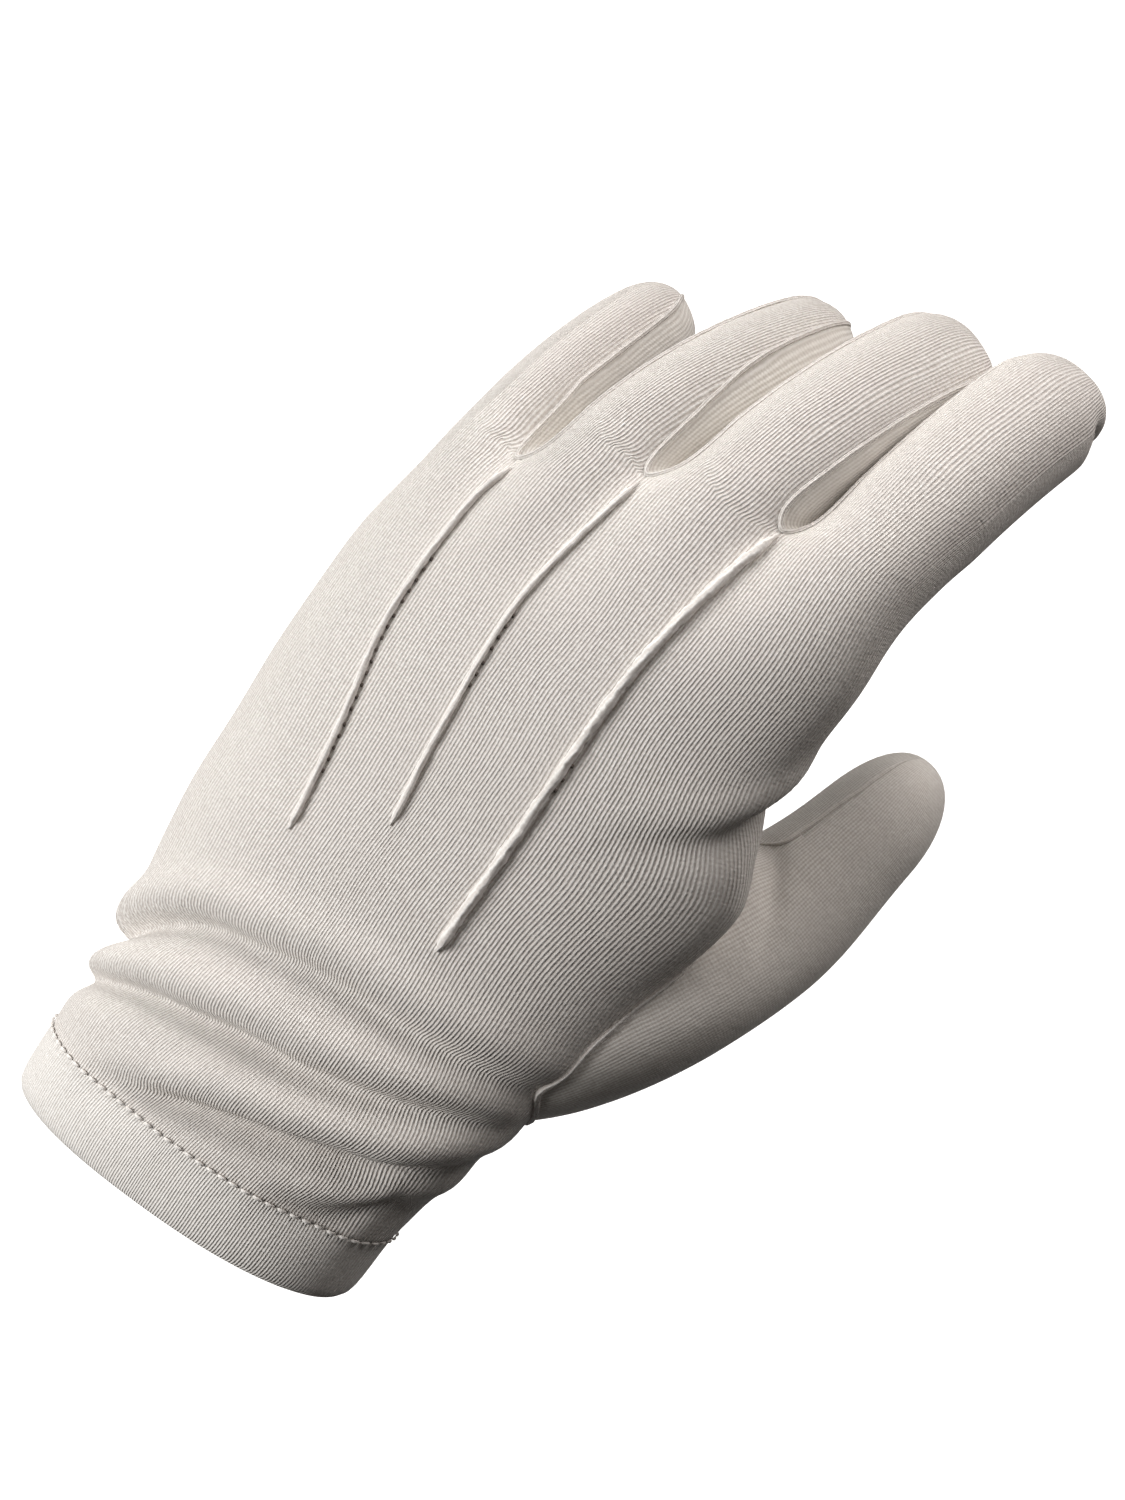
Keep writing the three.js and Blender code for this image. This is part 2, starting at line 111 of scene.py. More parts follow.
# %% Reading a table smoothly
def ease(table, key, at):
    """One column of a table at the places given, easing smoothly between its rows."""
    at = np.asarray(at, dtype=float)
    along = np.array([row["along"] for row in table])
    value = np.array([row[key] for row in table], dtype=float)
    slope = np.gradient(value, along)
    slope[1:-1] = (value[2:] - value[:-2]) / (along[2:] - along[:-2])
    i = np.clip(np.searchsorted(along, at) - 1, 0, len(along) - 2)
    span = along[i + 1] - along[i]
    t = np.clip((at - along[i]) / span, 0, 1)
    return ((2 * t**3 - 3 * t**2 + 1) * value[i] + (t**3 - 2 * t**2 + t) * slope[i] * span
            + (3 * t**2 - 2 * t**3) * value[i + 1] + (t**3 - t**2) * slope[i + 1] * span)


def smooth(low, high, at):
    """0 below low, 1 above high and smooth between."""
    t = np.clip((np.asarray(at, dtype=float) - low) / (high - low), 0, 1)
    return t * t * (3 - 2 * t)


def superellipse(angle, exponent):
    """Point of a superellipse with unit half-sizes."""
    c, s = np.cos(angle), np.sin(angle)
    return (np.sign(c) * np.abs(c) ** (2 / exponent), np.sign(s) * np.abs(s) ** (2 / exponent))


print("depth at the wrist", round(float(ease(body_sections, "back", 0.2)) * hand_depth, 1))

# %% [markdown]
# The loose cloth gathers round the wrist in a few deep folds. Each fold is a valley that runs round
# the wrist, with the cloth above it bulging over it, as slack knit does under its own weight. A row
# gives where the valley lies at an angle round the wrist, 0 on the thumb side and 90 on the back.

# %% Gathers of the wrist
fold_columns = ("along", "place", "deep")
wrist_folds = {
    "upper": [(-30, 0.3, 0), (0, 0.305, 0.15), (30, 0.312, 0.35), (56, 0.324, 0.5), (72, 0.335, 0.55),
              (88, 0.342, 0.55), (103, 0.338, 0.55), (122, 0.327, 0.65), (158, 0.268, 0.85),
              (176, 0.238, 0.85), (200, 0.235, 0.5), (230, 0.24, 0)],
    "middle": [(-20, 0.25, 0), (10, 0.25, 0.25), (34, 0.25, 0.5), (56, 0.243, 0.75), (70, 0.239, 0.8),
               (82, 0.236, 0.8), (96, 0.2375, 0.8), (110, 0.23, 0.75), (127, 0.22, 0.7),
               (158, 0.183, 0.6), (185, 0.15, 0.45), (215, 0.14, 0)],
    "lower": [(-70, 0.19, 0), (-30, 0.2, 0.15), (5, 0.2, 0.35), (20, 0.188, 0.6), (41, 0.174, 1.15),
              (58, 0.168, 1.2), (72, 0.157, 1.1), (83, 0.148, 1.0), (96, 0.129, 0.75),
              (107, 0.11, 0.35), (125, 0.09, 0)],
    "corner": [(-25, 0.14, 0), (0, 0.142, 0.25), (22, 0.136, 0.45), (30, 0.122, 0.5), (40, 0.108, 0.4),
               (50, 0.1, 0.25), (64, 0.095, 0)],
    "thumb_web": [(-45, 0.77, 0), (-28, 0.75, 0.3), (-10, 0.72, 0.6), (8, 0.685, 0.5), (24, 0.66, 0.28),
                  (42, 0.635, 0.12), (55, 0.62, 0)],
    "palm_low": [(200, 0.2, 0), (230, 0.17, 0.5), (270, 0.16, 0.55), (310, 0.17, 0.4), (330, 0.19, 0)],
    "palm_high": [(190, 0.3, 0), (225, 0.28, 0.5), (265, 0.27, 0.6), (300, 0.28, 0.4), (330, 0.3, 0)],
}
wrist_folds = {name: [dict(zip(fold_columns, row)) for row in rows] for name, rows in wrist_folds.items()}
valley_above = 2.8
valley_below = 5.0
bulge_far = 6.5
bulge_wide = 4.2
bulge_share = 0.42
overhang = 2.2
hang_far = 3.2
hang_wide = 3.6


def gathers(along, angle):
    """How far the gathers draw the cloth in, and how far they let it hang toward the cuff."""
    turn = np.degrees(angle)
    drawn = np.zeros(np.broadcast(along, turn).shape)
    hung = np.zeros_like(drawn)
    for rows in wrist_folds.values():
        first, last = rows[0]["along"], rows[-1]["along"]
        at = np.where(turn > last + 1, turn - 360, turn)
        at = np.where(at < first - 1, at + 360, at)
        inside = (at >= first) & (at <= last)
        deep = np.where(inside, np.maximum(ease(rows, "deep", at), 0), 0)
        away = (along - ease(rows, "place", at)) * hand_length
        wide = np.where(away > 0, valley_above, valley_below)
        valley = np.exp(-((away / wide) ** 2))
        bulge = np.exp(-(((away - bulge_far) / bulge_wide) ** 2))
        drawn += deep * fold_depth * (valley - bulge_share * bulge)
        hung += deep * overhang * np.exp(-(((away - hang_far) / hang_wide) ** 2))
    return drawn, hung


print("folds:", ", ".join(wrist_folds))

# %% [markdown]
# The ball of the thumb fills the cloth out on the thumb's side, and the cloth falls back in a hollow
# before the index finger. One table gives how far the cloth is pushed out along the hand.

# %% The swell of the hand toward the thumb
thumb_swell = [dict(zip(("along", "far"), row)) for row in [
    (0.2, 0), (0.27, 0.8), (0.33, 2.0), (0.4, 3.0), (0.46, 4.0), (0.53, 6.2), (0.585, 7.0), (0.615, 5.6),
    (0.65, 3.0), (0.69, 1.4), (0.73, 1.5), (0.78, 2.6), (0.84, 3.6), (0.9, 3.8), (0.97, 2.6), (1.05, 0.9),
    (1.16, 0)]]
swell_at = 5.0
swell_wide = 36.0
swell_way = (0.85, 0.1, -0.5)


def swelling(along, angle):
    """How far the ball of the thumb pushes the cloth out."""
    turn = np.degrees(angle)
    turn = np.where(turn > 180, turn - 360, turn)
    along = np.clip(along, thumb_swell[0]["along"], thumb_swell[-1]["along"])
    far = np.maximum(ease(thumb_swell, "far", along), 0)
    return far * np.exp(-(((turn - swell_at) / swell_wide) ** 2))


print("swell at the thumb", round(float(swelling(np.array(0.57), np.array(0.1))), 1), "mm")


# %% [markdown]
# With the sections, the gathers and the swell, any point of the hand follows from two numbers: how
# far it lies along the hand and its angle round it.

# %% A point on the hand, by its place along it and its angle round it
def body_point(along, angle, folded=True):
    """A point on the hand, with or without the gathers of the wrist."""
    at = lambda key: ease(body_sections, key, along)
    left, right = at("left") * hand_breadth, at("right") * hand_breadth
    back, palm = at("back") * hand_depth, at("palm") * hand_depth
    turn, slant = np.radians(at("roll")), at("slant")
    c, s = superellipse(angle, at("round"))
    drawn, hung = gathers(along, angle) if folded else (0, 0)
    dx, dz = c * ((right - left) / 2 - drawn), s * ((back - palm) / 2 - drawn)
    x = (left + right) / 2 + dx * np.cos(turn) - dz * np.sin(turn)
    z = (back + palm) / 2 + dx * np.sin(turn) + dz * np.cos(turn)
    out = swelling(along, angle)
    return np.stack([x + swell_way[0] * out, along * hand_length + slant * x - hung + swell_way[1] * out,
                     z + swell_way[2] * out], axis=-1)


print("knuckle line", body_point(np.array(1.0), np.array(math.pi / 2)).round(1))

# %% [markdown]
# Each finger is a blunt tube round a bent centre line. The path gives, at each step, the place and
# the directions across, up and ahead. The finger's own section is a rounded box, as loose cloth
# takes over a fingertip.

# %% Fingers and their centre lines
finger_columns = ("name", "x", "y", "z", "long", "wide", "deep", "lean", "dive", "roll")
finger_rows = [
    ("little", -0.364, 0.79, -0.03, 0.79, 0.87, 0.8, (0, 4), (8, 72), -30),
    ("ring", -0.15, 0.84, 0.08, 0.9, 1.0, 0.88, (0, 27), (4, 72), -14),
    ("middle", 0.125, 0.88, 0.11, 0.95, 1.17, 0.94, (2, 18), (3, 68), -4),
    ("index", 0.418, 0.9, 0.08, 0.965, 1.13, 0.94, (0, 7), (4, 60), 2),
]
fingers = [dict(zip(finger_columns, row)) for row in finger_rows]
finger_swell = [dict(zip(("along", "wide", "deep"), row)) for row in [
    (0.0, 0.98, 1.1), (0.14, 1.0, 1.14), (0.3, 1.0, 1.12), (0.55, 0.99, 1.0), (0.8, 0.97, 0.97),
    (0.9, 0.95, 0.95), (1.0, 0.93, 0.93)]]
path_steps = 160
dive_delay = 1.25
finger_round = 2.4
cap_start = 0.84
cap_round = 2.3
pinched = 3
pinch_at = 79.0
pinch_turn = -12.0
pinch_deep = 3.4
pinch_long = 2.0
pinch_wide = 40.0


def turned(vector, axis, angle):
    """A vector turned about an axis."""
    return (vector * math.cos(angle) + np.cross(axis, vector) * math.sin(angle)
            + axis * (axis @ vector) * (1 - math.cos(angle)))


def finger_path(finger):
    """Places and directions along a finger's centre line."""
    place = np.array([finger["x"] * hand_breadth, finger["y"] * hand_length, finger["z"] * hand_depth])
    length = finger["long"] * finger_length
    rows = {"place": [], "ahead": [], "across": [], "up": []}
    for i in range(path_steps + 1):
        t = i / path_steps
        lean = math.radians(finger["lean"][0] + (finger["lean"][1] - finger["lean"][0]) * t)
        dive = math.radians(
            finger["dive"][0] + (finger["dive"][1] - finger["dive"][0]) * t**dive_delay)
        ahead = np.array([math.sin(lean) * math.cos(dive), math.cos(lean) * math.cos(dive), -math.sin(dive)])
        across = np.array([math.cos(lean), -math.sin(lean), 0.0])
        up = np.cross(across, ahead)
        roll = math.radians(-finger["roll"])
        rows["place"].append(place.copy())
        rows["ahead"].append(ahead)
        rows["across"].append(turned(across, ahead, roll))
        rows["up"].append(turned(up, ahead, roll))
        place += ahead * length / path_steps
    return {key: np.array(value) for key, value in rows.items()} | {"length": length}


def path_at(path, distance):
    """Place and directions at a distance along a path, straight on past its two ends."""
    distance = np.asarray(distance, dtype=float)
    at = np.clip(distance / path["length"], 0, 1) * path_steps
    i = np.clip(np.floor(at).astype(int), 0, path_steps - 1)
    t = (at - i)[..., None]
    mix = {key: path[key][i] * (1 - t) + path[key][i + 1] * t for key in ("place", "ahead", "across", "up")}
    over = distance - np.clip(distance, 0, path["length"])
    mix["place"] = mix["place"] + mix["ahead"] * over[..., None]
    return mix


paths = [finger_path(finger) for finger in fingers]


def finger_point(index, distance, angle):
    """A point on a finger, by its distance along the centre line and its angle round it."""
    finger, path = fingers[index], paths[index]
    share = np.clip(distance / path["length"], 0, 1)
    station = path_at(path, np.minimum(distance, path["length"]))
    c, s = superellipse(angle, finger_round)
    cap = np.clip((share - cap_start) / (1 - cap_start), 0, 1)
    shrink = np.maximum(1 - cap**cap_round, 0) ** (1 / cap_round)
    wide = finger["wide"] * finger_width / 2 * ease(finger_swell, "wide", share) * shrink
    deep = finger["deep"] * finger_width / 2 * ease(finger_swell, "deep", share) * shrink
    away = station["across"] * (c * wide)[..., None] + station["up"] * (s * deep)[..., None]
    if index == pinched:
        turn = np.degrees(angle)
        turn = np.where(turn > 180, turn - 360, turn)
        dent = pinch_deep * np.exp(
            -((distance - pinch_at) / pinch_long) ** 2 - ((turn - pinch_turn) / pinch_wide) ** 2)
        away = away * (1 - dent / (finger_width / 2))[..., None]
    return station["place"] + away


print("fingertips", [path["place"][-1].round(0).tolist() for path in paths])

# %% [markdown]
# The cloth is laid out as one net of squares, as a pattern cutter would do it: the columns run from
# the cuff up the hand and on up the fingers, and the knit's ribs follow them. Round the hand the
# order is the thumb side, the back of each finger from index to little, the outer side, and the
# palms of the fingers. At the knuckles the net parts into four fingers. The walls between them meet
# in a web, and become the side strips.

# %% Columns of the net
side_cells = 18
face_cells = 22
corner = math.radians(25)
web_places = (24.6, -3.4, -26.8)
split = 1.0
palm_lag = 0.085


def angle_of(x):
    """Angle on the back at the knuckles whose point lies at x."""
    left, right = (float(ease(body_sections, key, split)) * hand_breadth for key in ("left", "right"))
    c = (x - (left + right) / 2) / ((right - left) / 2)
    return math.acos(math.copysign(abs(c) ** (float(ease(body_sections, "round", split)) / 2), c))


backs = [corner, *(angle_of(x) for x in web_places), math.pi - corner]
bounds_round = [-corner, *backs, *(2 * math.pi - a for a in reversed(backs))]
cells_round = [side_cells, *[face_cells] * 4, side_cells, *[face_cells] * 4]
column_angles = np.concatenate([
    np.linspace(a, b, n, endpoint=False) for a, b, n in zip(bounds_round, bounds_round[1:], cells_round)])
columns = len(column_angles)
starts = np.concatenate([[0], np.cumsum(cells_round)])
print(columns, "columns, starts", starts.tolist())

# %% [markdown]
# The rows lie 1.25 mm apart, close enough for the folds to be smooth. The net ends a little earlier
# or later between two fingers, since each slot in the photo starts at its own height.

# %% Rows of the hand
row_pitch = 1.25
hem_top = (hem_depth - 0.25) / hand_length
body_count = round((split - hem_top) * hand_length / row_pitch)
row_share = np.linspace(0, 1, body_count + 1)
back_share = (np.sin(column_angles) + 1) / 2
split_lag = [dict(zip(("along", "lag"), row)) for row in [
    (0, 0.0), (math.degrees(backs[1]), 0.0), (math.degrees(backs[2]), 0.01), (math.degrees(backs[3]), -0.023),
    (180, -0.023)]]
back_lag = ease(split_lag, "lag", np.degrees(np.arccos(np.cos(column_angles))))
column_end = split + back_lag + palm_lag * smooth(0.35, 0.05, back_share)
body_along = hem_top + row_share[:, None] * (column_end[None, :] - hem_top)
body_angle = np.broadcast_to(column_angles, body_along.shape)
hand = body_point(body_along, body_angle)
hand_flat = hand.copy()
print("hand net", hand.shape)

# %% [markdown]
# A side strip shows on the back only where its seams lie wide apart. The tables give the angles of
# the two seams round each finger, 90 being the middle of the back, so the slots get the photo's
# width.

# %% Side strips: how far down each finger's side the seams lie
seam_columns = ("along", "back")
right_seams = {
    0: [(0.0, 92), (0.36, 92), (0.5, 92), (0.67, 91), (0.87, 97), (0.95, 112), (1.0, 118)],
    1: [(0.0, 74), (0.36, 75), (0.44, 79), (0.58, 89), (0.7, 97), (0.92, 106), (1.0, 110)],
    2: [(0.0, 64), (0.35, 64), (0.52, 63), (0.9, 64), (1.0, 60)],
}
right_seams = {i: [dict(zip(seam_columns, row)) for row in rows] for i, rows in right_seams.items()}
palm_seam = [dict(zip(("along", "angle"), row)) for row in [(0.0, 42), (0.5, 34), (0.9, 24), (1.0, 18)]]
left_seam = [dict(zip(("along", "angle"), row)) for row in [(0.0, 24), (0.5, 18), (1.0, 14)]]
outer_angle = math.degrees(corner) + 3
root_seam = (78.0, 62.0, 52.0)
slot_at = (22.3, 27.5, 28.4)
slot_rim = 3.0
gap_soft = 0.8
gap_reach = 4.0
slot_gap = [dict(zip(("along", "gap"), row)) for row in [(0.0, 0.5), (0.4, 0.5), (0.7, 0.6), (1.0, 0.9)]]


def finger_corners(index, distance):
    """Angles of a finger's corners, from its right palm corner round to the same corner again."""
    share = np.clip(distance / paths[index]["length"], 0, 1)
    outer = np.full(share.shape, float(outer_angle))
    palm = ease(palm_seam, "angle", share)
    right_back = ease(right_seams[index], "back", share) if index < 3 else outer
    if index < 3:
        past = np.clip((distance - slot_at[index]) / slot_rim, 0, 1)
        right_back = root_seam[index] + (right_back - root_seam[index]) * np.sqrt(1 - (1 - past) ** 2)
    right_palm = palm if index < 3 else outer
    left_back = ease(left_seam, "angle", share) if index > 0 else outer
    left_palm = palm if index > 0 else outer
    return np.radians(np.stack([-right_palm, right_back, 180 - left_back, 180 + left_palm, 360 - right_palm]))


def ring_angle(index, distance, place):
    """Angle at a place round a finger's ring. place 0 to 1 is its right side, then its back, its left
    side and its palm up to 4."""
    corners = finger_corners(index, distance)
    face = np.broadcast_to(np.clip(np.floor(place).astype(int), 0, 3), distance.shape)
    low = np.take_along_axis(corners, face[None], 0)[0]
    high = np.take_along_axis(corners, face[None] + 1, 0)[0]
    return low + (high - low) * (place - face)


def kept_apart(index, distance, points):
    """Points of a finger, held on its own side of the planes between it and its neighbours."""
    for other in (index - 1, index + 1):
        if not 0 <= other < 4:
            continue
        one, two = path_at(paths[index], distance), path_at(paths[other], distance)
        ahead = one["ahead"] + two["ahead"]
        ahead /= np.linalg.norm(ahead, axis=-1, keepdims=True)
        apart = two["place"] - one["place"]
        apart = apart - ahead * (apart * ahead).sum(-1, keepdims=True)
        apart /= np.linalg.norm(apart, axis=-1, keepdims=True)
        middle = (one["place"] + two["place"]) / 2
        gap = ease(slot_gap, "gap", np.clip(distance / paths[index]["length"], 0, 1)) / 2
        past = ((points - middle) * apart).sum(-1) + gap
        soft = 0.5 * (past + np.sqrt(past**2 + gap_soft))
        points = points - apart * np.where(past > -gap_reach, soft, 0)[..., None]
    return points


print("ring finger corners", np.degrees(finger_corners(1, np.array(30.0))).round(0).tolist())

# %% [markdown]
# Toward the knuckles the hand takes on the form of the four fingers, and the columns between two
# fingers are drawn together to the point where their slot starts. The places are millimetres across
# and along the hand.

# %% Blending the hand into the finger roots
# The first column of each finger's back and palm on the hand, with 0 for the little finger.
back_start = {3: starts[1], 2: starts[2], 1: starts[3], 0: starts[4]}
palm_start = {0: starts[6], 1: starts[7], 2: starts[8], 3: starts[9]}
finger_from, finger_full = 0.8, 1.06
slot_from = 0.84
pull_reach = 0.8
slot_lean = 0.6
slot_marks = {(3, 2): (24.6, 176.2), (2, 1): (-3.4, 168.6), (1, 0): (-26.8, 155.0)}


def root_distance(index, points):
    """Distance along a finger's centre line that matches a place on the hand."""
    return points[..., 1] - fingers[index]["y"] * hand_length


def hand_patch(index, first, count, place_from):
    """Columns of the hand that run up into one face of a finger, bent toward that finger's form."""
    cols = (first + np.arange(count + 1)) % columns
    flat = hand[:, cols]
    distance = root_distance(index, flat)
    place = np.broadcast_to(place_from + np.arange(count + 1) / count, distance.shape)
    place = np.minimum(place, place_from + 1 - 1e-9)
    form = finger_point(index, distance, ring_angle(index, distance, place))
    share = smooth(finger_from, finger_full, body_along[:, cols])[..., None]
    return cols, distance, flat + (form - flat) * share


patches = {}
for i in range(4):
    patches[i, "back"] = hand_patch(i, back_start[i], face_cells, 1)
    patches[i, "palm"] = hand_patch(i, palm_start[i], face_cells, 3)
patches[3, "side"] = hand_patch(3, starts[0], side_cells, 0)
patches[0, "side"] = hand_patch(0, starts[5], side_cells, 2)
order = [(3, "side"), (3, "back"), (2, "back"), (1, "back"), (0, "back"),
         (0, "side"), (0, "palm"), (1, "palm"), (2, "palm"), (3, "palm")]
pulls = {}
for one, two in zip(order, order[1:] + order[:1]):
    lean = slot_lean if one[1] == two[1] == "back" else 0.5
    meet = patches[one][2][:, -1] * lean + patches[two][2][:, 0] * (1 - lean)
    if one[1] == two[1] == "back":
        mark = np.append(slot_marks[one[0], two[0]], meet[-1, 2])
        meet = meet + (mark - meet[-1]) * smooth(slot_from, 1.0, row_share)[:, None]
    pulls[one, "end"] = meet - patches[one][2][:, -1]
    pulls[two, "start"] = meet - patches[two][2][:, 0]
for key in order:
    cols, distance, points = patches[key]
    k = np.arange(len(cols)) / (len(cols) - 1)
    near = np.clip(1 - k / pull_reach, 0, 1) ** 2
    points += pulls[key, "start"][:, None] * near[None, :, None]
    points += pulls[key, "end"][:, None] * near[::-1][None, :, None]
    hand[:, cols] = points
print("widest pull at the webs", round(max(float(np.abs(p[-1]).max()) for p in pulls.values()), 1), "mm")

# %% Evening out the knuckles
knuckle_from, knuckle_full, knuckle_even, knuckle_rounds = 0.74, 0.84, 0.5, 14
knuckle = smooth(knuckle_from, knuckle_full, body_along)[..., None] * knuckle_even
knuckle[-1] = 0
for _ in range(knuckle_rounds):
    around = (np.roll(hand, 1, 1) + np.roll(hand, -1, 1)) / 4
    around[1:-1] += (hand[2:] + hand[:-2]) / 4
    around[0] += hand[0] / 2
    around[-1] += hand[-1] / 2
    hand += (around - hand) * knuckle
print("knuckle row", hand[-1, starts[1:6]].round(1).tolist())

# %% Rows of the fingers
slot_round = 4.5
settle = 14.0
root_steps = (0.25, 0.6, 1.1, 1.8, 2.7, 3.8)
root_depth = 24.0
tip_rows = 13
ring_cells = [side_cells, face_cells, side_cells, face_cells]
ring_place = np.concatenate([f + np.arange(n) / n for f, n in enumerate(ring_cells)])
ring_size = len(ring_place)
ring_starts = np.concatenate([[0], np.cumsum(ring_cells)])


def ring_columns(index):
    """The hand's column that each place of a finger's ring grows from, and -1 on the web."""
    cols = np.full(ring_size, -1)
    back = (back_start[index] + np.arange(face_cells + 1)) % columns
    palm = (palm_start[index] + np.arange(face_cells + 1)) % columns
    cols[ring_starts[1]:ring_starts[2] + 1] = back
    cols[ring_starts[3]:] = palm[:-1]
    cols[0] = palm[-1]
    if index == 3:
        cols[:side_cells] = starts[0] + np.arange(side_cells)
    if index == 0:
        cols[ring_starts[2]:ring_starts[3] + 1] = starts[5] + np.arange(side_cells + 1)
    return cols


def finger_start(index):
    """Distance along the finger at which each place of its ring leaves the hand."""
    cols = ring_columns(index)
    got = np.full(ring_size, np.nan)
    known = cols >= 0
    got[known] = root_distance(index, hand[-1, cols[known]])
    for first, last in ((0, side_cells), (ring_starts[2], ring_starts[3])):
        if np.isnan(got[first:last]).any():
            end = last % ring_size
            got[first:last + 1] = np.linspace(got[first], got[end], side_cells + 1)
    return got


def finger_rows_at(index):
    """Shares of the way from the web to the tip: close together at both ends."""
    length = paths[index]["length"] - root_depth
    near = np.array(root_steps) / length
    cap = 1 - paths[index]["length"] * (1 - cap_start) / length
    straight = np.linspace(near[-1], cap, round((cap - near[-1]) * length / row_pitch) + 1)[1:]
    turn = np.linspace(0, math.pi / 2, tip_rows)[1:-1]
    return np.concatenate([near, straight, cap + (1 - cap) * np.sin(turn)])


grids, starts_at = [], [finger_start(i) for i in range(4)]
for i in range(4):
    share = np.concatenate([[0], finger_rows_at(i)])
    distance = starts_at[i][None] + (paths[i]["length"] - starts_at[i][None]) * share[:, None]
    place = np.broadcast_to(ring_place, distance.shape)
    points = finger_point(i, distance, ring_angle(i, distance, place))
    points = kept_apart(i, distance, points)
    grids.append({"points": points, "distance": distance})
print("finger rows", [g["points"].shape[0] for g in grids])

# %% Webs between the fingers
webs = []
for i in range(3):
    mine = np.arange(side_cells, -1, -1)
    theirs = ring_starts[2] + np.arange(side_cells + 1)
    one = grids[i]["points"][0, mine]
    two = grids[i + 1]["points"][0, theirs]
    line = (one + two) / 2
    cols = ring_columns(i)
    line[0] = hand[-1, cols[side_cells]]
    line[-1] = hand[-1, cols[0]]
    k = np.linspace(0, 1, side_cells + 1)[:, None]
    ends = (line[0] - (one[0] + two[0]) / 2) * (1 - k) ** 2 + (line[-1] - (one[-1] + two[-1]) / 2) * k**2
    line[1:-1] += ends[1:-1]
    webs.append(line)
print("web depths", [round(float(np.linalg.norm(w[0] - w[-1])), 1) for w in webs])

# %% Joining the fingers to the hand and the webs
# Beside a web the cloth turns sharply into the slot, and elsewhere it settles slowly.
web_half = 0.85
for i in range(4):
    cols = ring_columns(i)
    target = np.where((cols >= 0)[:, None], hand[-1, np.maximum(cols, 0)], 0.0)
    if i < 3:
        target[1:side_cells] = webs[i][::-1][1:-1]
    if i > 0:
        target[ring_starts[2] + 1:ring_starts[3]] = webs[i - 1][1:-1]
    grid = grids[i]
    gone = grid["distance"] - grid["distance"][0]
    sharp = 1 - np.sqrt(1 - (1 - np.clip(gone / slot_round, 0, 1)) ** 2)
    slow = 1 - smooth(0, settle, gone)
    near_web = np.zeros(ring_size, bool)
    if i < 3:
        near_web |= (np.abs(ring_place - 0.5) < web_half) | (ring_place > 3.6)
    if i > 0:
        near_web |= (ring_place > 1.6) & (ring_place < 3.4)
    fade = np.where(near_web, sharp, slow)[..., None]
    grid["points"] = grid["points"] + (target - grid["points"][0])[None] * fade
    grid["points"][0] = target
print("fingers joined")

# %% [markdown]
# The net is now numbered as one surface: the hand, the three webs and the four fingers. Every square
# belongs to the trank, or to one of the side strips where it lies on the walls between two fingers.
# Each square also keeps its place in the knit: how many millimetres it lies across and along the
# ribs.

# %% Numbering the net
hand_ids = np.arange(hand.shape[0] * columns).reshape(hand.shape[0], columns)
tip_past = 0.1
points = [hand.reshape(-1, 3)]
count = hand_ids.size
web_ids = []
for line in webs:
    inner = count + np.arange(side_cells - 1)
    count += side_cells - 1
    points.append(line[1:-1])
    web_ids.append(inner)
ring_ids = []
for i in range(4):
    cols = ring_columns(i)
    first = np.where(cols >= 0, hand_ids[-1, np.maximum(cols, 0)], 0)
    if i < 3:
        first[1:side_cells] = web_ids[i][::-1]
    if i > 0:
        first[ring_starts[2] + 1:ring_starts[3]] = web_ids[i - 1]
    rows = grids[i]["points"].shape[0] - 1
    ids = np.vstack([first, count + np.arange(rows * ring_size).reshape(rows, ring_size)])
    count += rows * ring_size
    points.append(grids[i]["points"][1:].reshape(-1, 3))
    points.append(paths[i]["place"][-1][None] + paths[i]["ahead"][-1][None] * tip_past)
    ring_ids.append({"ids": ids, "tip": count})
    count += 1
surface = np.concatenate(points)
print("net points", len(surface))

# %% [markdown]
# Where the nets meet, the squares are uneven at first. Each point near a finger root is drawn toward
# the middle of its neighbours a few times, as cloth under light tension evens itself out.

# %% Evening out the finger roots
def evened(points, faces, amount, rounds):
    """Points drawn toward the middle of their neighbours, each by its own amount."""
    sides = np.concatenate([faces[:, [k, (k + 1) % 4]] for k in range(4)])
    sides = np.unique(np.sort(sides, axis=1), axis=0)
    count = np.maximum(np.bincount(sides.ravel(), minlength=len(points)), 1)[:, None]
    for _ in range(rounds):
        around = np.zeros_like(points)
        for axis in range(3):
            around[:, axis] = (np.bincount(sides[:, 0], points[sides[:, 1], axis], len(points))
                               + np.bincount(sides[:, 1], points[sides[:, 0], axis], len(points)))
        points = points + (around / count - points) * amount[:, None]
    return points


root_even = 0.5
root_rounds = 26
root_reach = (6.0, 16.0)
amount = np.zeros(len(surface))
amount[hand_ids] = root_even * smooth(0.86, 0.95, body_along)
amount[np.concatenate(web_ids)] = root_even
next_ids = np.roll(hand_ids, -1, 1)
all_quads = [np.stack([hand_ids[:-1], hand_ids[1:], next_ids[1:], next_ids[:-1]], -1)]
for i in range(4):
    ids = ring_ids[i]["ids"]
    gone = grids[i]["distance"] - grids[i]["distance"][0]
    amount[ids[1:]] = root_even * (1 - smooth(*root_reach, gone[1:]))
    next_ids = np.roll(ids, -1, 1)
    all_quads.append(np.stack([ids[:-1], ids[1:], next_ids[1:], next_ids[:-1]], -1))
all_quads = np.concatenate([quads.reshape(-1, 4) for quads in all_quads])
surface = evened(surface, all_quads, amount, root_rounds)
print("finger roots evened out")

# %% [markdown]
# The ribs of the knit run straight up the hand, whatever the net does at the slots. So a point's place
# across the ribs is measured round the palm, and the slots cut the ribs as scissors would.

# %% Places in the knit
girth_at = 0.78
even = body_point(np.full(columns, girth_at), column_angles, folded=False)
even = np.vstack([even, even[:1]])
across = np.concatenate([[0], np.cumsum(np.linalg.norm(np.diff(even, axis=0), axis=1))])
print("cloth round the palm", round(float(across[-1]), 1), "mm")


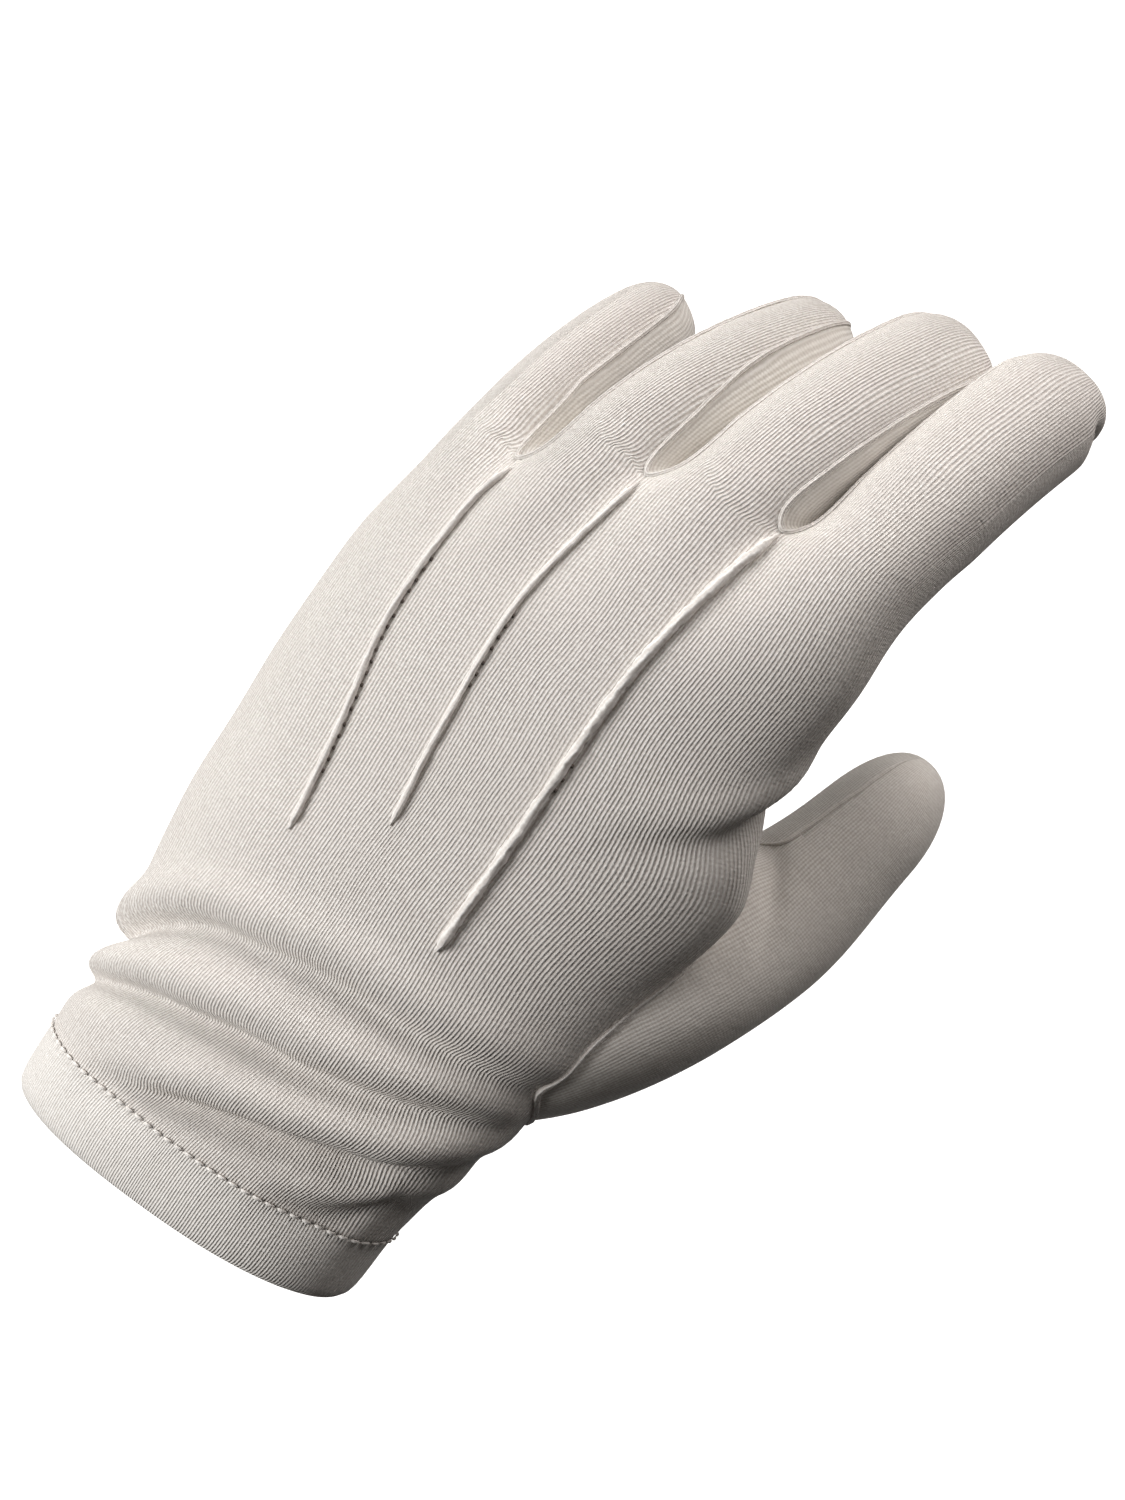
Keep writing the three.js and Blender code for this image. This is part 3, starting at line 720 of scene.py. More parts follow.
def net_faces(ids, u, v):
    """Squares of a net, with the knit place of each of their corners."""
    rows, cols = ids.shape
    u = np.broadcast_to(u, (rows, cols + 1))
    after = (np.arange(cols) + 1) % cols
    quads = np.stack([ids[:-1], ids[1:], ids[1:][:, after], ids[:-1][:, after]], axis=-1)
    place = np.empty((rows - 1, cols, 4, 2))
    place[..., 0, 0], place[..., 1, 0] = u[:-1, :-1], u[1:, :-1]
    place[..., 2, 0], place[..., 3, 0] = u[1:, 1:], u[:-1, 1:]
    place[..., 0, 1], place[..., 1, 1] = v[:-1], v[1:]
    place[..., 2, 1], place[..., 3, 1] = v[1:][:, after], v[:-1][:, after]
    return quads, place


# %% The trank's squares and the side strips
slide_from, slide_full = 0.7, 0.8
wall_cell = 0.9
strip_end = 0.985
trank_faces, trank_uv = [], []
strip_faces = {0: [], 1: [], 2: []}
strip_uv = {0: [], 1: [], 2: []}
to_next = np.roll(hand_flat, -1, 1) - np.roll(hand_flat, 1, 1)
to_next /= np.linalg.norm(to_next, axis=-1, keepdims=True)
slid = ((surface[hand_ids] - hand_flat) * to_next).sum(-1) * smooth(slide_from, slide_full, body_along)
hand_across = across[:-1] + slid
hand_across = np.hstack([hand_across, hand_across[:, :1] + across[-1]])
quads, place = net_faces(hand_ids, hand_across, body_along * hand_length)
trank_faces.append(quads.reshape(-1, 4))
trank_uv.append(place.reshape(-1, 4, 2))
tips = []
strip_rows = []
for i in range(4):
    ids = ring_ids[i]["ids"]
    cols = ring_columns(i)
    wall = np.arange(side_cells + 1) * wall_cell
    faces_from = {1: back_start[i], 3: palm_start[i]}
    u = np.zeros((ids.shape[0], ring_size + 1))
    for face, first in faces_from.items():
        k = ring_starts[face] + np.arange(face_cells + 1)
        at = np.minimum(face + np.arange(face_cells + 1) / face_cells, face + 1 - 1e-9)
        known = np.broadcast_to(at, (ids.shape[0], face_cells + 1))
        far = np.concatenate([grids[i]["distance"], grids[i]["distance"][:, :1]], axis=1)[:, k]
        angles = ring_angle(i, far, known)
        u[:, k] = np.interp(angles, angles[0], hand_across[-1, first:first + face_cells + 1])
    gone = grids[i]["distance"] - grids[i]["distance"][0]
    base = np.where(cols >= 0, column_end[np.maximum(cols, 0)], split + palm_lag / 2) * hand_length
    v = base[None] + gone
    quads, place = net_faces(ids, u, v)
    right, left = slice(0, side_cells), slice(ring_starts[2], ring_starts[3])
    for side, outer_start in ((right, starts[0]), (left, starts[5])):
        outer = (side == right and i == 3) or (side == left and i == 0)
        widths = across[outer_start:outer_start + side_cells + 1] if outer else wall
        place[:, side, 0, 0] = place[:, side, 1, 0] = widths[:-1]
        place[:, side, 2, 0] = place[:, side, 3, 0] = widths[1:]
    strip = np.zeros(quads.shape[:2], bool)
    rows = int((grids[i]["distance"].mean(1) < strip_end * paths[i]["length"]).sum())
    strip_rows.append(rows)
    if i < 3:
        strip[:rows, right] = True
        strip_faces[i].append(quads[:rows, right].reshape(-1, 4))
        strip_uv[i].append(place[:rows, right].reshape(-1, 4, 2))
    if i > 0:
        strip[:rows, left] = True
        strip_faces[i - 1].append(quads[:rows, left].reshape(-1, 4))
        strip_uv[i - 1].append(place[:rows, left].reshape(-1, 4, 2))
    trank_faces.append(quads[~strip])
    trank_uv.append(place[~strip])
    last = ids[-1]
    for k in range(ring_size):
        tips.append((int(last[k]), ring_ids[i]["tip"], int(last[(k + 1) % ring_size])))
trank_faces = np.concatenate(trank_faces)
trank_uv = np.concatenate(trank_uv)
print("trank", len(trank_faces), "squares")

# %% [markdown]
# The thumb is set in: its tube is sewn into a hole at the side of the hand. Both forms are laid out
# whole, and each is then trimmed where it meets the other, so the two cut edges share one line, as
# the two edges of a seam do.

# %% The thumb's centre line
thumb_stations = [dict(zip(("x", "y", "z", "wide", "deep"), row)) for row in [
    (0.3, 0.3, -0.22, 0.9, 1.15), (0.432, 0.42, -0.27, 1.3, 1.37), (0.537, 0.55, -0.49, 1.42, 1.3),
    (0.61, 0.66, -0.77, 1.26, 1.06), (0.645, 0.785, -0.97, 0.96, 0.88), (0.655, 0.888, -1.14, 0.8, 0.82)]]
thumb_round = 2.2
thumb_sides = 76
scale = np.array([hand_breadth, hand_length, hand_depth])
knots = np.array([[row[axis] for axis in "xyz"] for row in thumb_stations]) * scale
chord = np.concatenate([[0], np.cumsum(np.linalg.norm(np.diff(knots, axis=0), axis=1) ** 0.5)])
thumb_table = [{"along": a / chord[-1], "x": k[0], "y": k[1], "z": k[2], "wide": row["wide"],
                "deep": row["deep"]} for a, k, row in zip(chord, knots, thumb_stations)]
fine = np.linspace(0, 1, path_steps + 1)
line = np.stack([ease(thumb_table, axis, fine) for axis in "xyz"], axis=-1)
step = np.linalg.norm(np.diff(line, axis=0), axis=1)
gone = np.concatenate([[0], np.cumsum(step)])
even_share = np.linspace(0, 1, path_steps + 1)
param = np.interp(even_share, gone / gone[-1], fine)
place = np.stack([ease(thumb_table, axis, param) for axis in "xyz"], axis=-1)
ahead = np.gradient(place, axis=0)
ahead /= np.linalg.norm(ahead, axis=1, keepdims=True)
across_thumb = np.stack([ahead[:, 1], -ahead[:, 0], 0 * ahead[:, 0]], axis=-1)
across_thumb /= np.linalg.norm(across_thumb, axis=1, keepdims=True)
thumb_path = {"place": place, "ahead": ahead, "across": across_thumb,
              "up": np.cross(across_thumb, ahead), "length": float(gone[-1])}
girth_table = [{"along": k / (len(thumb_stations) - 1), **row} for k, row in enumerate(thumb_stations)]
thumb_size = {key: ease(girth_table, key, even_share) for key in ("wide", "deep")}
print("thumb", round(thumb_path["length"], 1), "mm along its centre line")

# %% [markdown]
# Where the thumb leaves the hand its cloth has a shallow fold. A row gives how far along the thumb
# the fold lies at an angle round it, and how deep it is, in degrees and millimetres.

# %% The thumb's net
fold_wide = 3.4
ridge_share, ridge_far, ridge_wide = 0.35, 6.0, 4.5
thumb_fold = [dict(zip(("along", "place", "deep"), row)) for row in [
    (60, 62.0, 0.0), (78, 65.9, 0.6), (90, 70.6, 1.0), (105, 75.0, 1.1), (124, 76.9, 0.9), (147, 75.7, 0.4),
    (170, 74.0, 0.0)]]


def thumb_point(distance, angle):
    """A point on the thumb, by its distance along the centre line and its angle round it."""
    share = np.clip(distance / thumb_path["length"], 0, 1)
    station = path_at(thumb_path, np.minimum(distance, thumb_path["length"]))
    c, s = superellipse(angle, thumb_round)
    cap = np.clip((share - cap_start) / (1 - cap_start), 0, 1)
    shrink = np.maximum(1 - cap**cap_round, 0) ** (1 / cap_round)
    at = share * path_steps
    wide = np.interp(at, np.arange(path_steps + 1), thumb_size["wide"]) * thumb_width / 2 * shrink
    deep = np.interp(at, np.arange(path_steps + 1), thumb_size["deep"]) * thumb_width / 2 * shrink
    turn = np.degrees(angle)
    held = np.clip(turn, thumb_fold[0]["along"], thumb_fold[-1]["along"])
    past = distance - ease(thumb_fold, "place", held)
    drawn = ease(thumb_fold, "deep", held) * (
        np.exp(-(past / fold_wide) ** 2) - ridge_share * np.exp(-((past + ridge_far) / ridge_wide) ** 2))
    far = 1 - drawn / (thumb_width / 2)
    return (station["place"] + station["across"] * (c * wide * far)[..., None]
            + station["up"] * (s * deep * far)[..., None])


def clearance(tree, points):
    """How far points lie outside a closed form, in millimetres, and less than 0 inside it."""
    far = []
    for point in points:
        place, normal, _, gap = tree.find_nearest(Vector(point))
        far.append(math.copysign(gap, (Vector(point) - place) @ normal))
    return np.array(far)


def tree_of(points, faces):
    """A search tree of a net, for the nearest place on it."""
    corners = [Vector(p) for p in points.tolist()]
    return BVHTree.FromPolygons(corners, [tuple(int(v) for v in face) for face in faces])


def trimmed(points, faces, uvs, keep):
    """Faces of a net cut along the line where keep is 0, and kept where it is more."""
    points, new_faces, new_uvs, made = list(points), [], [], {}
    for face, uv in zip(faces, uvs):
        sign = [keep[v] > 0 for v in face]
        if all(sign):
            new_faces.append(tuple(face))
            new_uvs.append(list(uv))
            continue
        if not any(sign):
            continue
        ring, ring_uv = [], []
        for k, v in enumerate(face):
            w = face[(k + 1) % len(face)]
            a, b = uv[k], uv[(k + 1) % len(face)]
            if keep[v] > 0:
                ring.append(v)
                ring_uv.append(a)
            if (keep[v] > 0) != (keep[w] > 0):
                t = keep[v] / (keep[v] - keep[w])
                pair = (min(v, w), max(v, w))
                if pair not in made:
                    made[pair] = len(points)
                    points.append(points[v] + (points[w] - points[v]) * t)
                ring.append(made[pair])
                ring_uv.append(a + (b - a) * t)
        if len(ring) > 2:
            new_faces.append(tuple(ring))
            new_uvs.append(ring_uv)
    return np.array(points), new_faces, new_uvs, sorted(made.values())


# %% Trimming the thumb and the hand along their seam
thumb_girth = 84.0
thumb_outside, hand_outside = 5.0, 9.0
thumb_free = 140.0
reach_right, reach_low, reach_high = 10.0, 40.0, 150.0
thumb_rows = np.concatenate([
    np.arange(0, cap_start, row_pitch / thumb_path["length"]),
    cap_start + (1 - cap_start) * np.sin(np.linspace(0, math.pi / 2, tip_rows + 1)[:-1])])
thumb_angles = np.linspace(-math.pi / 2, 1.5 * math.pi, thumb_sides, endpoint=False)
thumb_distance = np.repeat((thumb_rows * thumb_path["length"])[:, None], thumb_sides, axis=1)
thumb_net = thumb_point(thumb_distance, np.broadcast_to(thumb_angles, thumb_distance.shape))
thumb_ids = np.arange(thumb_net[..., 0].size).reshape(thumb_net.shape[:2])
girth = np.linspace(0, thumb_girth, thumb_sides + 1)
quads, place = net_faces(thumb_ids, girth, thumb_distance)
thumb_end = thumb_path["place"][-1] + thumb_path["ahead"][-1] * tip_past
thumb_surface = np.vstack([thumb_net.reshape(-1, 3), thumb_end])
thumb_tip = len(thumb_surface) - 1
thumb_fan = [(int(thumb_ids[-1, k]), thumb_tip, int(thumb_ids[-1, (k + 1) % thumb_sides]))
             for k in range(thumb_sides)]
thumb_keep = clearance(tree_of(surface, trank_faces), thumb_surface)
thumb_keep[thumb_surface[:, 1] > thumb_free] = thumb_outside
thumb_tree = tree_of(thumb_surface, quads.reshape(-1, 4).tolist() + thumb_fan)
thumb_surface, thumb_faces, thumb_uv, thumb_cut = trimmed(
    thumb_surface, quads.reshape(-1, 4).tolist(), place.reshape(-1, 4, 2), thumb_keep)
hand_keep = np.full(len(surface), hand_outside)
in_reach = (surface[:, 0] > reach_right) & (surface[:, 1] > reach_low) & (surface[:, 1] < reach_high)
near_thumb = np.flatnonzero(in_reach & (np.arange(len(surface)) < hand_ids.size))
behind = (thumb_path["place"][0] - surface[near_thumb]) @ thumb_path["ahead"][0]
hand_keep[near_thumb] = np.maximum(clearance(thumb_tree, surface[near_thumb]), behind)
surface, trank_faces, trank_uv, trank_cut = trimmed(surface, trank_faces.tolist(), trank_uv, hand_keep)
print("seam points", len(thumb_cut), "on the thumb and", len(trank_cut), "on the hand")

# %% [markdown]
# Each piece is a net of squares without thickness at first. The Solidify modifier gives it the wall
# of a real cloth, inward, so the outside keeps its measured form.

# %% Making a piece of cloth from squares of a net
uv_unit = 100.0


def finish_piece(piece, thick=None):
    """Gives a piece its wall, lets it ride on the part and reports it."""
    if thick:
        wall = piece.modifiers.new("wall", "SOLIDIFY")
        wall.thickness = thick * MM
        wall.offset = -1
        wall.use_quality_normals = True
        bpy.context.view_layer.objects.active = piece
        piece.select_set(True)
        bpy.ops.object.modifier_apply(modifier=wall.name)
        piece.select_set(False)
    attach(piece, "root")
    triangles = sum(len(p.vertices) - 2 for p in piece.data.polygons)
    print(piece.name, triangles, "triangles")
    return piece


def make_piece(name, points, faces, uvs, thick=None):
    """A mesh object in metres from millimetre points, with its knit place as a UV map."""
    flat = np.concatenate([np.asarray(face) for face in faces])
    used = np.unique(flat)
    new = np.full(len(points), -1)
    new[used] = np.arange(len(used))
    mesh = bpy.data.meshes.new(name)
    mesh.from_pydata((points[used] * MM).tolist(), [], [tuple(int(new[v]) for v in face) for face in faces])
    layer = mesh.uv_layers.new(name="knit")
    layer.data.foreach_set("uv", (np.concatenate([np.asarray(uv) for uv in uvs]) / uv_unit).ravel())
    mesh.shade_smooth()
    piece = bpy.data.objects.new(name, mesh)
    bpy.context.scene.collection.objects.link(piece)
    return finish_piece(piece, thick)


def fan_uv(fan, v):
    """Knit places for the small triangles that close a tip."""
    return [[(k * wall_cell, v), ((k + 0.5) * wall_cell, v + 0.5), ((k + 1) * wall_cell, v)]
            for k in range(len(fan))]


# %% The pieces of cloth: trank, thumb and side strips
trank = make_piece("trank_cloth", surface, trank_faces + tips, trank_uv + fan_uv(tips, 250), cloth)
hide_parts("trank")
thumb = make_piece("thumb_cloth", thumb_surface, thumb_faces + thumb_fan,
                   thumb_uv + fan_uv(thumb_fan, 90), cloth)
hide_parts("thumb")
strips = []
strip_nodes = ("fourchette_little_ring", "fourchette_ring_middle", "fourchette_middle_index")
for i, node in enumerate(strip_nodes):
    strip = make_piece(node + "_cloth", surface, np.concatenate(strip_faces[i]).tolist(),
                       list(np.concatenate(strip_uv[i])), cloth)
    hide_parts(node)
    strips.append(strip)

# %% [markdown]
# The hem is the end of the trank, turned up once and sewn down, so the band is two cloths thick and
# its lower edge is a soft fold. It is one closed ring: a profile of the doubled cloth, carried round
# the opening.

# %% The turned-up hem
hem_profile = [dict(zip(("up", "inset"), row)) for row in [
    (1.0, 0.02), (0.97, -0.08), (0.9, -0.12), (0.7, -0.25), (0.5, -0.3), (0.3, -0.25), (0.15, -0.1),
    (0.05, 0.15), (0.0, 0.6), (-0.02, 1.1), (0.0, 1.6), (0.06, 2.05), (0.3, 2.1), (0.6, 2.1),
    (0.9, 2.1), (0.99, 1.9), (1.01, 1.2)]]
hem_rows = []
for row in hem_profile:
    ring = body_point(np.full(columns, row["up"] * hem_depth / hand_length), column_angles)
    centre = ring.mean(0)
    flat = ring - centre
    flat[:, 1] = 0
    out = flat / np.linalg.norm(flat, axis=1, keepdims=True)
    hem_rows.append(ring - out * row["inset"])
hem_net = np.array(hem_rows)
hem_ids = np.arange(hem_net[..., 0].size).reshape(hem_net.shape[:2])
hem_ids = np.vstack([hem_ids, hem_ids[:1]])
hem_v = np.concatenate([[0], np.cumsum(np.linalg.norm(np.diff(hem_net, axis=0), axis=2).mean(1))])
hem_v = np.append(hem_v, hem_v[-1] + 1)
quads, place = net_faces(hem_ids[::-1], across, np.repeat(hem_v[::-1, None], columns, axis=1))
hem = make_piece("cuff_hem_cloth", hem_net.reshape(-1, 3), quads.reshape(-1, 4).tolist(),
                 list(place.reshape(-1, 4, 2)))
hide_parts("cuff_hem")

# %% [markdown]
# A tuck is a pinch of the cloth, sewn along its foot, and a seam shows as a low welt where the two
# edges turn in. Both are the same kind of form: a rounded ridge that follows a line on the cloth.

# %% Ridges that follow a line on the cloth
# The noise starts from the clock unless it is given a seed, and each run has to give the same ridges.
noise.seed_set(3)
cloth_tree = tree_of(surface, trank_faces + tips)
below = 0.45
grain_scale = 0.9


def on_cloth(points):
    """Places and outward directions of the trank's cloth nearest to points."""
    places, normals = [], []
    for p in points:
        place, normal, _, _ = cloth_tree.find_nearest(Vector(p))
        places.append(place)
        normals.append(normal)
    return np.array(places), np.array(normals)


def resampled(line, pitch, closed=False):
    """A line's points at an even pitch."""
    line = np.asarray(line)
    if closed:
        line = np.vstack([line, line[:1]])
    length = np.concatenate([[0], np.cumsum(np.linalg.norm(np.diff(line, axis=0), axis=1))])
    count = max(int(round(length[-1] / pitch)), 3)
    at = np.linspace(0, length[-1], count + 1)[: -1 if closed else None]
    return np.stack([np.interp(at, length, line[:, k]) for k in range(3)], axis=-1), at


def softened(values, times, closed=False):
    """Values along a line, evened out with their neighbours."""
    values = np.array(values, dtype=float)
    for _ in range(times):
        if closed:
            values = (np.roll(values, 1, 0) + values * 2 + np.roll(values, -1, 0)) / 4
        else:
            values[1:-1] = (values[:-2] + values[1:-1] * 2 + values[2:]) / 4
    return values


def tapered(far, total, reach, thin):
    """Share of its full size at each place of a ridge that thins out toward its two ends."""
    return thin + (1 - thin) * smooth(0, reach, np.minimum(far, total - far))


def ridge(name, line, normals, half, tall, lean=0.0, closed=False, sides=10, rough=0.0, seed=0.0):
    """A rounded ridge along a line. half and tall are its half-width and height, lean tips its crest."""
    line, normals = np.asarray(line), np.asarray(normals)
    if closed:
        ahead = np.roll(line, -1, 0) - np.roll(line, 1, 0)
    else:
        ahead = np.gradient(line, axis=0)
    ahead /= np.linalg.norm(ahead, axis=1, keepdims=True)
    across = np.cross(ahead, normals)
    across /= np.linalg.norm(across, axis=1, keepdims=True)
    up = np.cross(across, ahead)
    half, tall = np.broadcast_to(half, len(line)), np.broadcast_to(tall, len(line))
    rings = []
    for k in range(sides):
        angle = 2 * math.pi * k / sides
        s = math.sin(angle)
        high = s if s > 0 else below * s
        side = math.cos(angle) * half + lean * max(s, 0) * tall
        rings.append(line + across * side[:, None] + up * (high * tall)[:, None])
    net = np.stack(rings, axis=1)
    if rough:
        for r in range(len(net)):
            for k in range(sides):
                p = Vector(net[r, k]) * grain_scale + Vector((seed, 0, 0))
                net[r, k] += np.array(noise.noise_vector(p)) * rough
    ids = np.arange(net[..., 0].size).reshape(net.shape[:2])
    length = np.concatenate([[0], np.cumsum(np.linalg.norm(np.diff(line, axis=0), axis=1))])
    if closed:
        ids = np.vstack([ids, ids[:1]])
        length = np.append(length, length[-1] + 1)
    quads, place = net_faces(ids, np.linspace(0, 5, sides + 1), np.repeat(length[:, None], sides, axis=1))
    faces, uvs, points = quads.reshape(-1, 4).tolist(), list(place.reshape(-1, 4, 2)), net.reshape(-1, 3)
    if not closed:
        for row, tip in ((0, line[0]), (-1, line[-1])):
            points = np.vstack([points, tip])
            ring = ids[row] if row == -1 else ids[row][::-1]
            fan = [(int(ring[k]), len(points) - 1, int(ring[(k + 1) % sides])) for k in range(sides)]
            faces += fan
            uvs += fan_uv(fan, length[row])
    return make_piece(name, points, faces, uvs)
print("cloth to follow:", len(trank_faces), "faces")

# %% The three tucks
tuck_width = 1.8
tuck_height = 1.5
tuck_pitch = 0.8
tuck_taper = 3.0
above_hand = 60.0
tucks = {
    "tuck_little_ring": {"wide": 0.95, "lean": -0.5, "rough": 0.18, "line": [
        (-0.27, 0.92), (-0.295, 0.86), (-0.29, 0.71), (-0.24, 0.59), (-0.19, 0.45)]},
    "tuck_ring_middle": {"wide": 0.85, "lean": -0.45, "rough": 0.15, "line": [
        (-0.03, 1.0), (-0.07, 0.83), (-0.045, 0.66), (-0.012, 0.535)]},
    "tuck_middle_index": {"wide": 1.15, "lean": -0.2, "rough": 0.35, "line": [
        (0.26, 1.05), (0.235, 0.96), (0.215, 0.84), (0.215, 0.7), (0.22, 0.46)]},
}
tuck_lines = {}
for number, (node, tuck) in enumerate(tucks.items()):
    knots = [{"along": k, "x": x * hand_breadth, "y": y * hand_length}
             for k, (x, y) in enumerate(tuck["line"])]
    at = np.linspace(0, len(knots) - 1, 200)
    plan = np.stack([ease(knots, "x", at), ease(knots, "y", at), np.zeros(200)], axis=-1)
    plan, far = resampled(plan, tuck_pitch)
    places, normals = [], []
    for p in plan:
        place, normal, _, _ = cloth_tree.ray_cast(Vector((p[0], p[1], above_hand)), Vector((0, 0, -1)))
        places.append(place)
        normals.append(normal)
    places, normals = softened(places, 6), softened(normals, 12)
    taper = tapered(far, far[-1], tuck_taper, 0.35)
    waver = 1 + 0.12 * np.array([noise.noise(Vector((f * 0.25, number * 7.0, 0))) for f in far])
    piece = ridge(node + "_cloth", places, normals, tuck["wide"] * tuck_width / 2 * taper * waver,
                  tuck["wide"] * tuck_height * taper * waver, tuck["lean"], rough=tuck["rough"],
                  sides=14, seed=number * 31.0)
    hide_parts(node)
    tuck_lines[node] = (places, normals, far)

# %% Welts along the side strips
welt_half = 0.55
welt_tall = 0.6
welt_pitch = 0.7
welt_taper = 6.0
for i, node in enumerate(strip_nodes):
    one, two = ring_ids[i]["ids"], ring_ids[i + 1]["ids"]
    for face, mine, theirs in (("back", ring_starts[1], ring_starts[2]), ("palm", 0, ring_starts[3])):
        line = np.vstack([surface[one[:strip_rows[i] + 1, mine]][::-1],
                          surface[two[1:strip_rows[i + 1] + 1, theirs]]])
        line, far = resampled(line, welt_pitch)
        line = softened(line, 3)
        _, normals = on_cloth(line)
        normals = softened(normals, 4)
        taper = tapered(far, far[-1], welt_taper, 0.3)
        name = f"welt_{face}_{node.removeprefix('fourchette_')}"
        welt = ridge(name, line, normals, welt_half * taper, welt_tall * taper,
                     sides=8, rough=0.08, seed=i * 11.0)


# %% Welt along the thumb's seam
def ordered_loop(faces, chosen):
    """The edge of a net as one line, through the points that were made where it was cut."""
    chosen, edges = set(chosen), {}
    for face in faces:
        for k, v in enumerate(face):
            w = face[(k + 1) % len(face)]
            if v in chosen and w in chosen:
                edges[(v, w)] = edges.get((v, w), 0) + 1
    after = {v: w for (v, w) in edges if (w, v) not in edges}
    best = []
    while after:
        v, walk = next(iter(after)), []
        while v in after:
            walk.append(v)
            v = after.pop(v)
        if len(walk) > len(best):
            best = walk
    return best


thumb_welt_half, thumb_welt_tall, thumb_welt_pitch = 0.8, 0.95, 0.8
seam = ordered_loop(trank_faces, trank_cut)
line, far = resampled(surface[seam], thumb_welt_pitch, closed=True)
line = softened(line, 8, closed=True)
_, normals = on_cloth(line)
normals = softened(normals, 8, closed=True)
thumb_welt = ridge("welt_thumb", line, normals, thumb_welt_half, thumb_welt_tall,
                   closed=True, sides=8, rough=0.1)
print("thumb seam", round(float(far[-1]), 1), "mm round")

# %% [markdown]
# The thumb is one piece folded round and closed by a seam down its back, which shows as a fine line.
# A row gives the seam's angle round the thumb at a distance along it.

# %% Seam down the back of the thumb
thumb_seam = [dict(zip(("along", "angle"), row)) for row in [
    (76, 150), (78, 138), (81, 124), (86, 120), (93, 117), (100, 112), (107, 111), (110, 112)]]
seam_first, seam_last = 77.0, 110.0
side_welt = 0.5
seam_far = np.arange(seam_first, seam_last, 0.5)
seam_angle = np.radians(ease(thumb_seam, "angle", seam_far))
line = thumb_point(seam_far, seam_angle)
centre = path_at(thumb_path, seam_far)["place"]
normals = line - centre
normals /= np.linalg.norm(normals, axis=1, keepdims=True)
taper = tapered(seam_far - seam_first, seam_last - seam_first, 5.0, 0.35)
thumb_side_welt = ridge("welt_thumb_side", line, normals, side_welt * taper, side_welt * taper,
                        sides=8, rough=0.08, seed=5.0)

# %% [markdown]
# The row of running stitch holds the hem up. A hand-guided machine leaves short threads with equal
# gaps, and each thread sinks at its ends, where it goes through the cloth. One thread is a closed tube
# of a few dozen faces, and the row is that tube carried round the cuff.

# %% Threads on the cloth
def thread_row(name, places, aheads, normals, long, thick, sink):
    """Short threads, one at each place, as one mesh. Each arches from one needle hole to the next."""
    sides, steps = 6, 7
    arch_share, flat_share, end_round = 0.9, 1.15, 0.09
    points, faces, uvs = [], [], []
    for number, (place, ahead, normal) in enumerate(zip(places, aheads, normals)):
        ahead = ahead / np.linalg.norm(ahead)
        normal = normal - ahead * (normal @ ahead)
        normal /= np.linalg.norm(normal)
        side = np.cross(ahead, normal)
        first = len(points)
        for r in range(steps):
            t = r / (steps - 1) * 2 - 1
            arch = (1 - t * t) * thick * arch_share - sink
            round_off = math.sqrt(max(1 - abs(t) ** 4, end_round))
            wide = thick * round_off
            spine = place + ahead * (t * long / 2)
            for k in range(sides):
                turn = 2 * math.pi * k / sides
                points.append(spine + normal * (arch + math.sin(turn) * wide)
                              + side * (math.cos(turn) * flat_share * wide))
        for r in range(steps - 1):
            for k in range(sides):
                a, b = first + r * sides + k, first + r * sides + (k + 1) % sides
                faces.append((a, b, b + sides, a + sides))
                v = r * long / (steps - 1) + number
                uvs.append([(k * 0.3, v), (k * 0.3 + 0.3, v), (k * 0.3 + 0.3, v + 0.3), (k * 0.3, v + 0.3)])
        last = first + (steps - 1) * sides
        faces.append(tuple(range(first + sides - 1, first - 1, -1)))
        faces.append(tuple(range(last, last + sides)))
        uvs += [[(0.3 * k, number) for k in range(sides)]] * 2
    return make_piece(name, np.array(points), faces, uvs)


stitch_long = 1.9
stitch_pitch = 2.6
stitch_thick = 0.3
stitch_proud = 0.2
stitch_line = body_point(np.full(columns, (hem_depth + 0.1) / hand_length), column_angles)
places, far = resampled(stitch_line, stitch_pitch, closed=True)
aheads = np.roll(places, -1, 0) - np.roll(places, 1, 0)
outward = np.cross(aheads, np.array([0.0, 1.0, 0.0]))
outward *= np.sign((outward * (places - places.mean(0))).sum(1))[:, None]
hem_stitches = thread_row("hem_stitches", places, aheads, outward, stitch_long, stitch_thick, -stitch_proud)
print(len(places), "stitches round the hem")

# %% [markdown]
# The tucks are sewn along their foot, and where the thread has sunk in, a row of small dark dents shows
# beside each tuck. They are the same short tubes, sunk into the cloth, in a dark colour that is painted
# shade. A row gives the share of the tuck that they lie along, and how far they lie from its middle.

# %% Needle holes beside the tucks
hole_pitch = 2.5
hole_long, hole_thick, hole_sink = 1.0, 0.3, 0.2
holes = {
    "tuck_little_ring": {"share": (0.28, 0.86), "side": 1.15},
    "tuck_ring_middle": {"share": (0.42, 0.64), "side": 1.0},
    "tuck_middle_index": {"share": (0.56, 0.62), "side": 1.2},
}
hole_places, hole_aheads, hole_normals = [], [], []
for node, row in holes.items():
    places, normals, far = tuck_lines[node]
    aheads = np.gradient(places, axis=0)
    aheads /= np.linalg.norm(aheads, axis=1, keepdims=True)
    first, last = row["share"]
    for at in np.arange(far[-1] * first, far[-1] * last, hole_pitch):
        k = int(np.argmin(np.abs(far - at)))
        side = np.cross(normals[k], aheads[k])
        spot = places[k] + side * row["side"]
        near, normal = on_cloth([spot])
        hole_places.append(near[0])
        hole_aheads.append(aheads[k])
        hole_normals.append(normal[0])
needle_holes = thread_row("tuck_needle_holes", hole_places, hole_aheads, hole_normals,
                          hole_long, hole_thick, hole_sink)
print(len(hole_places), "needle holes")
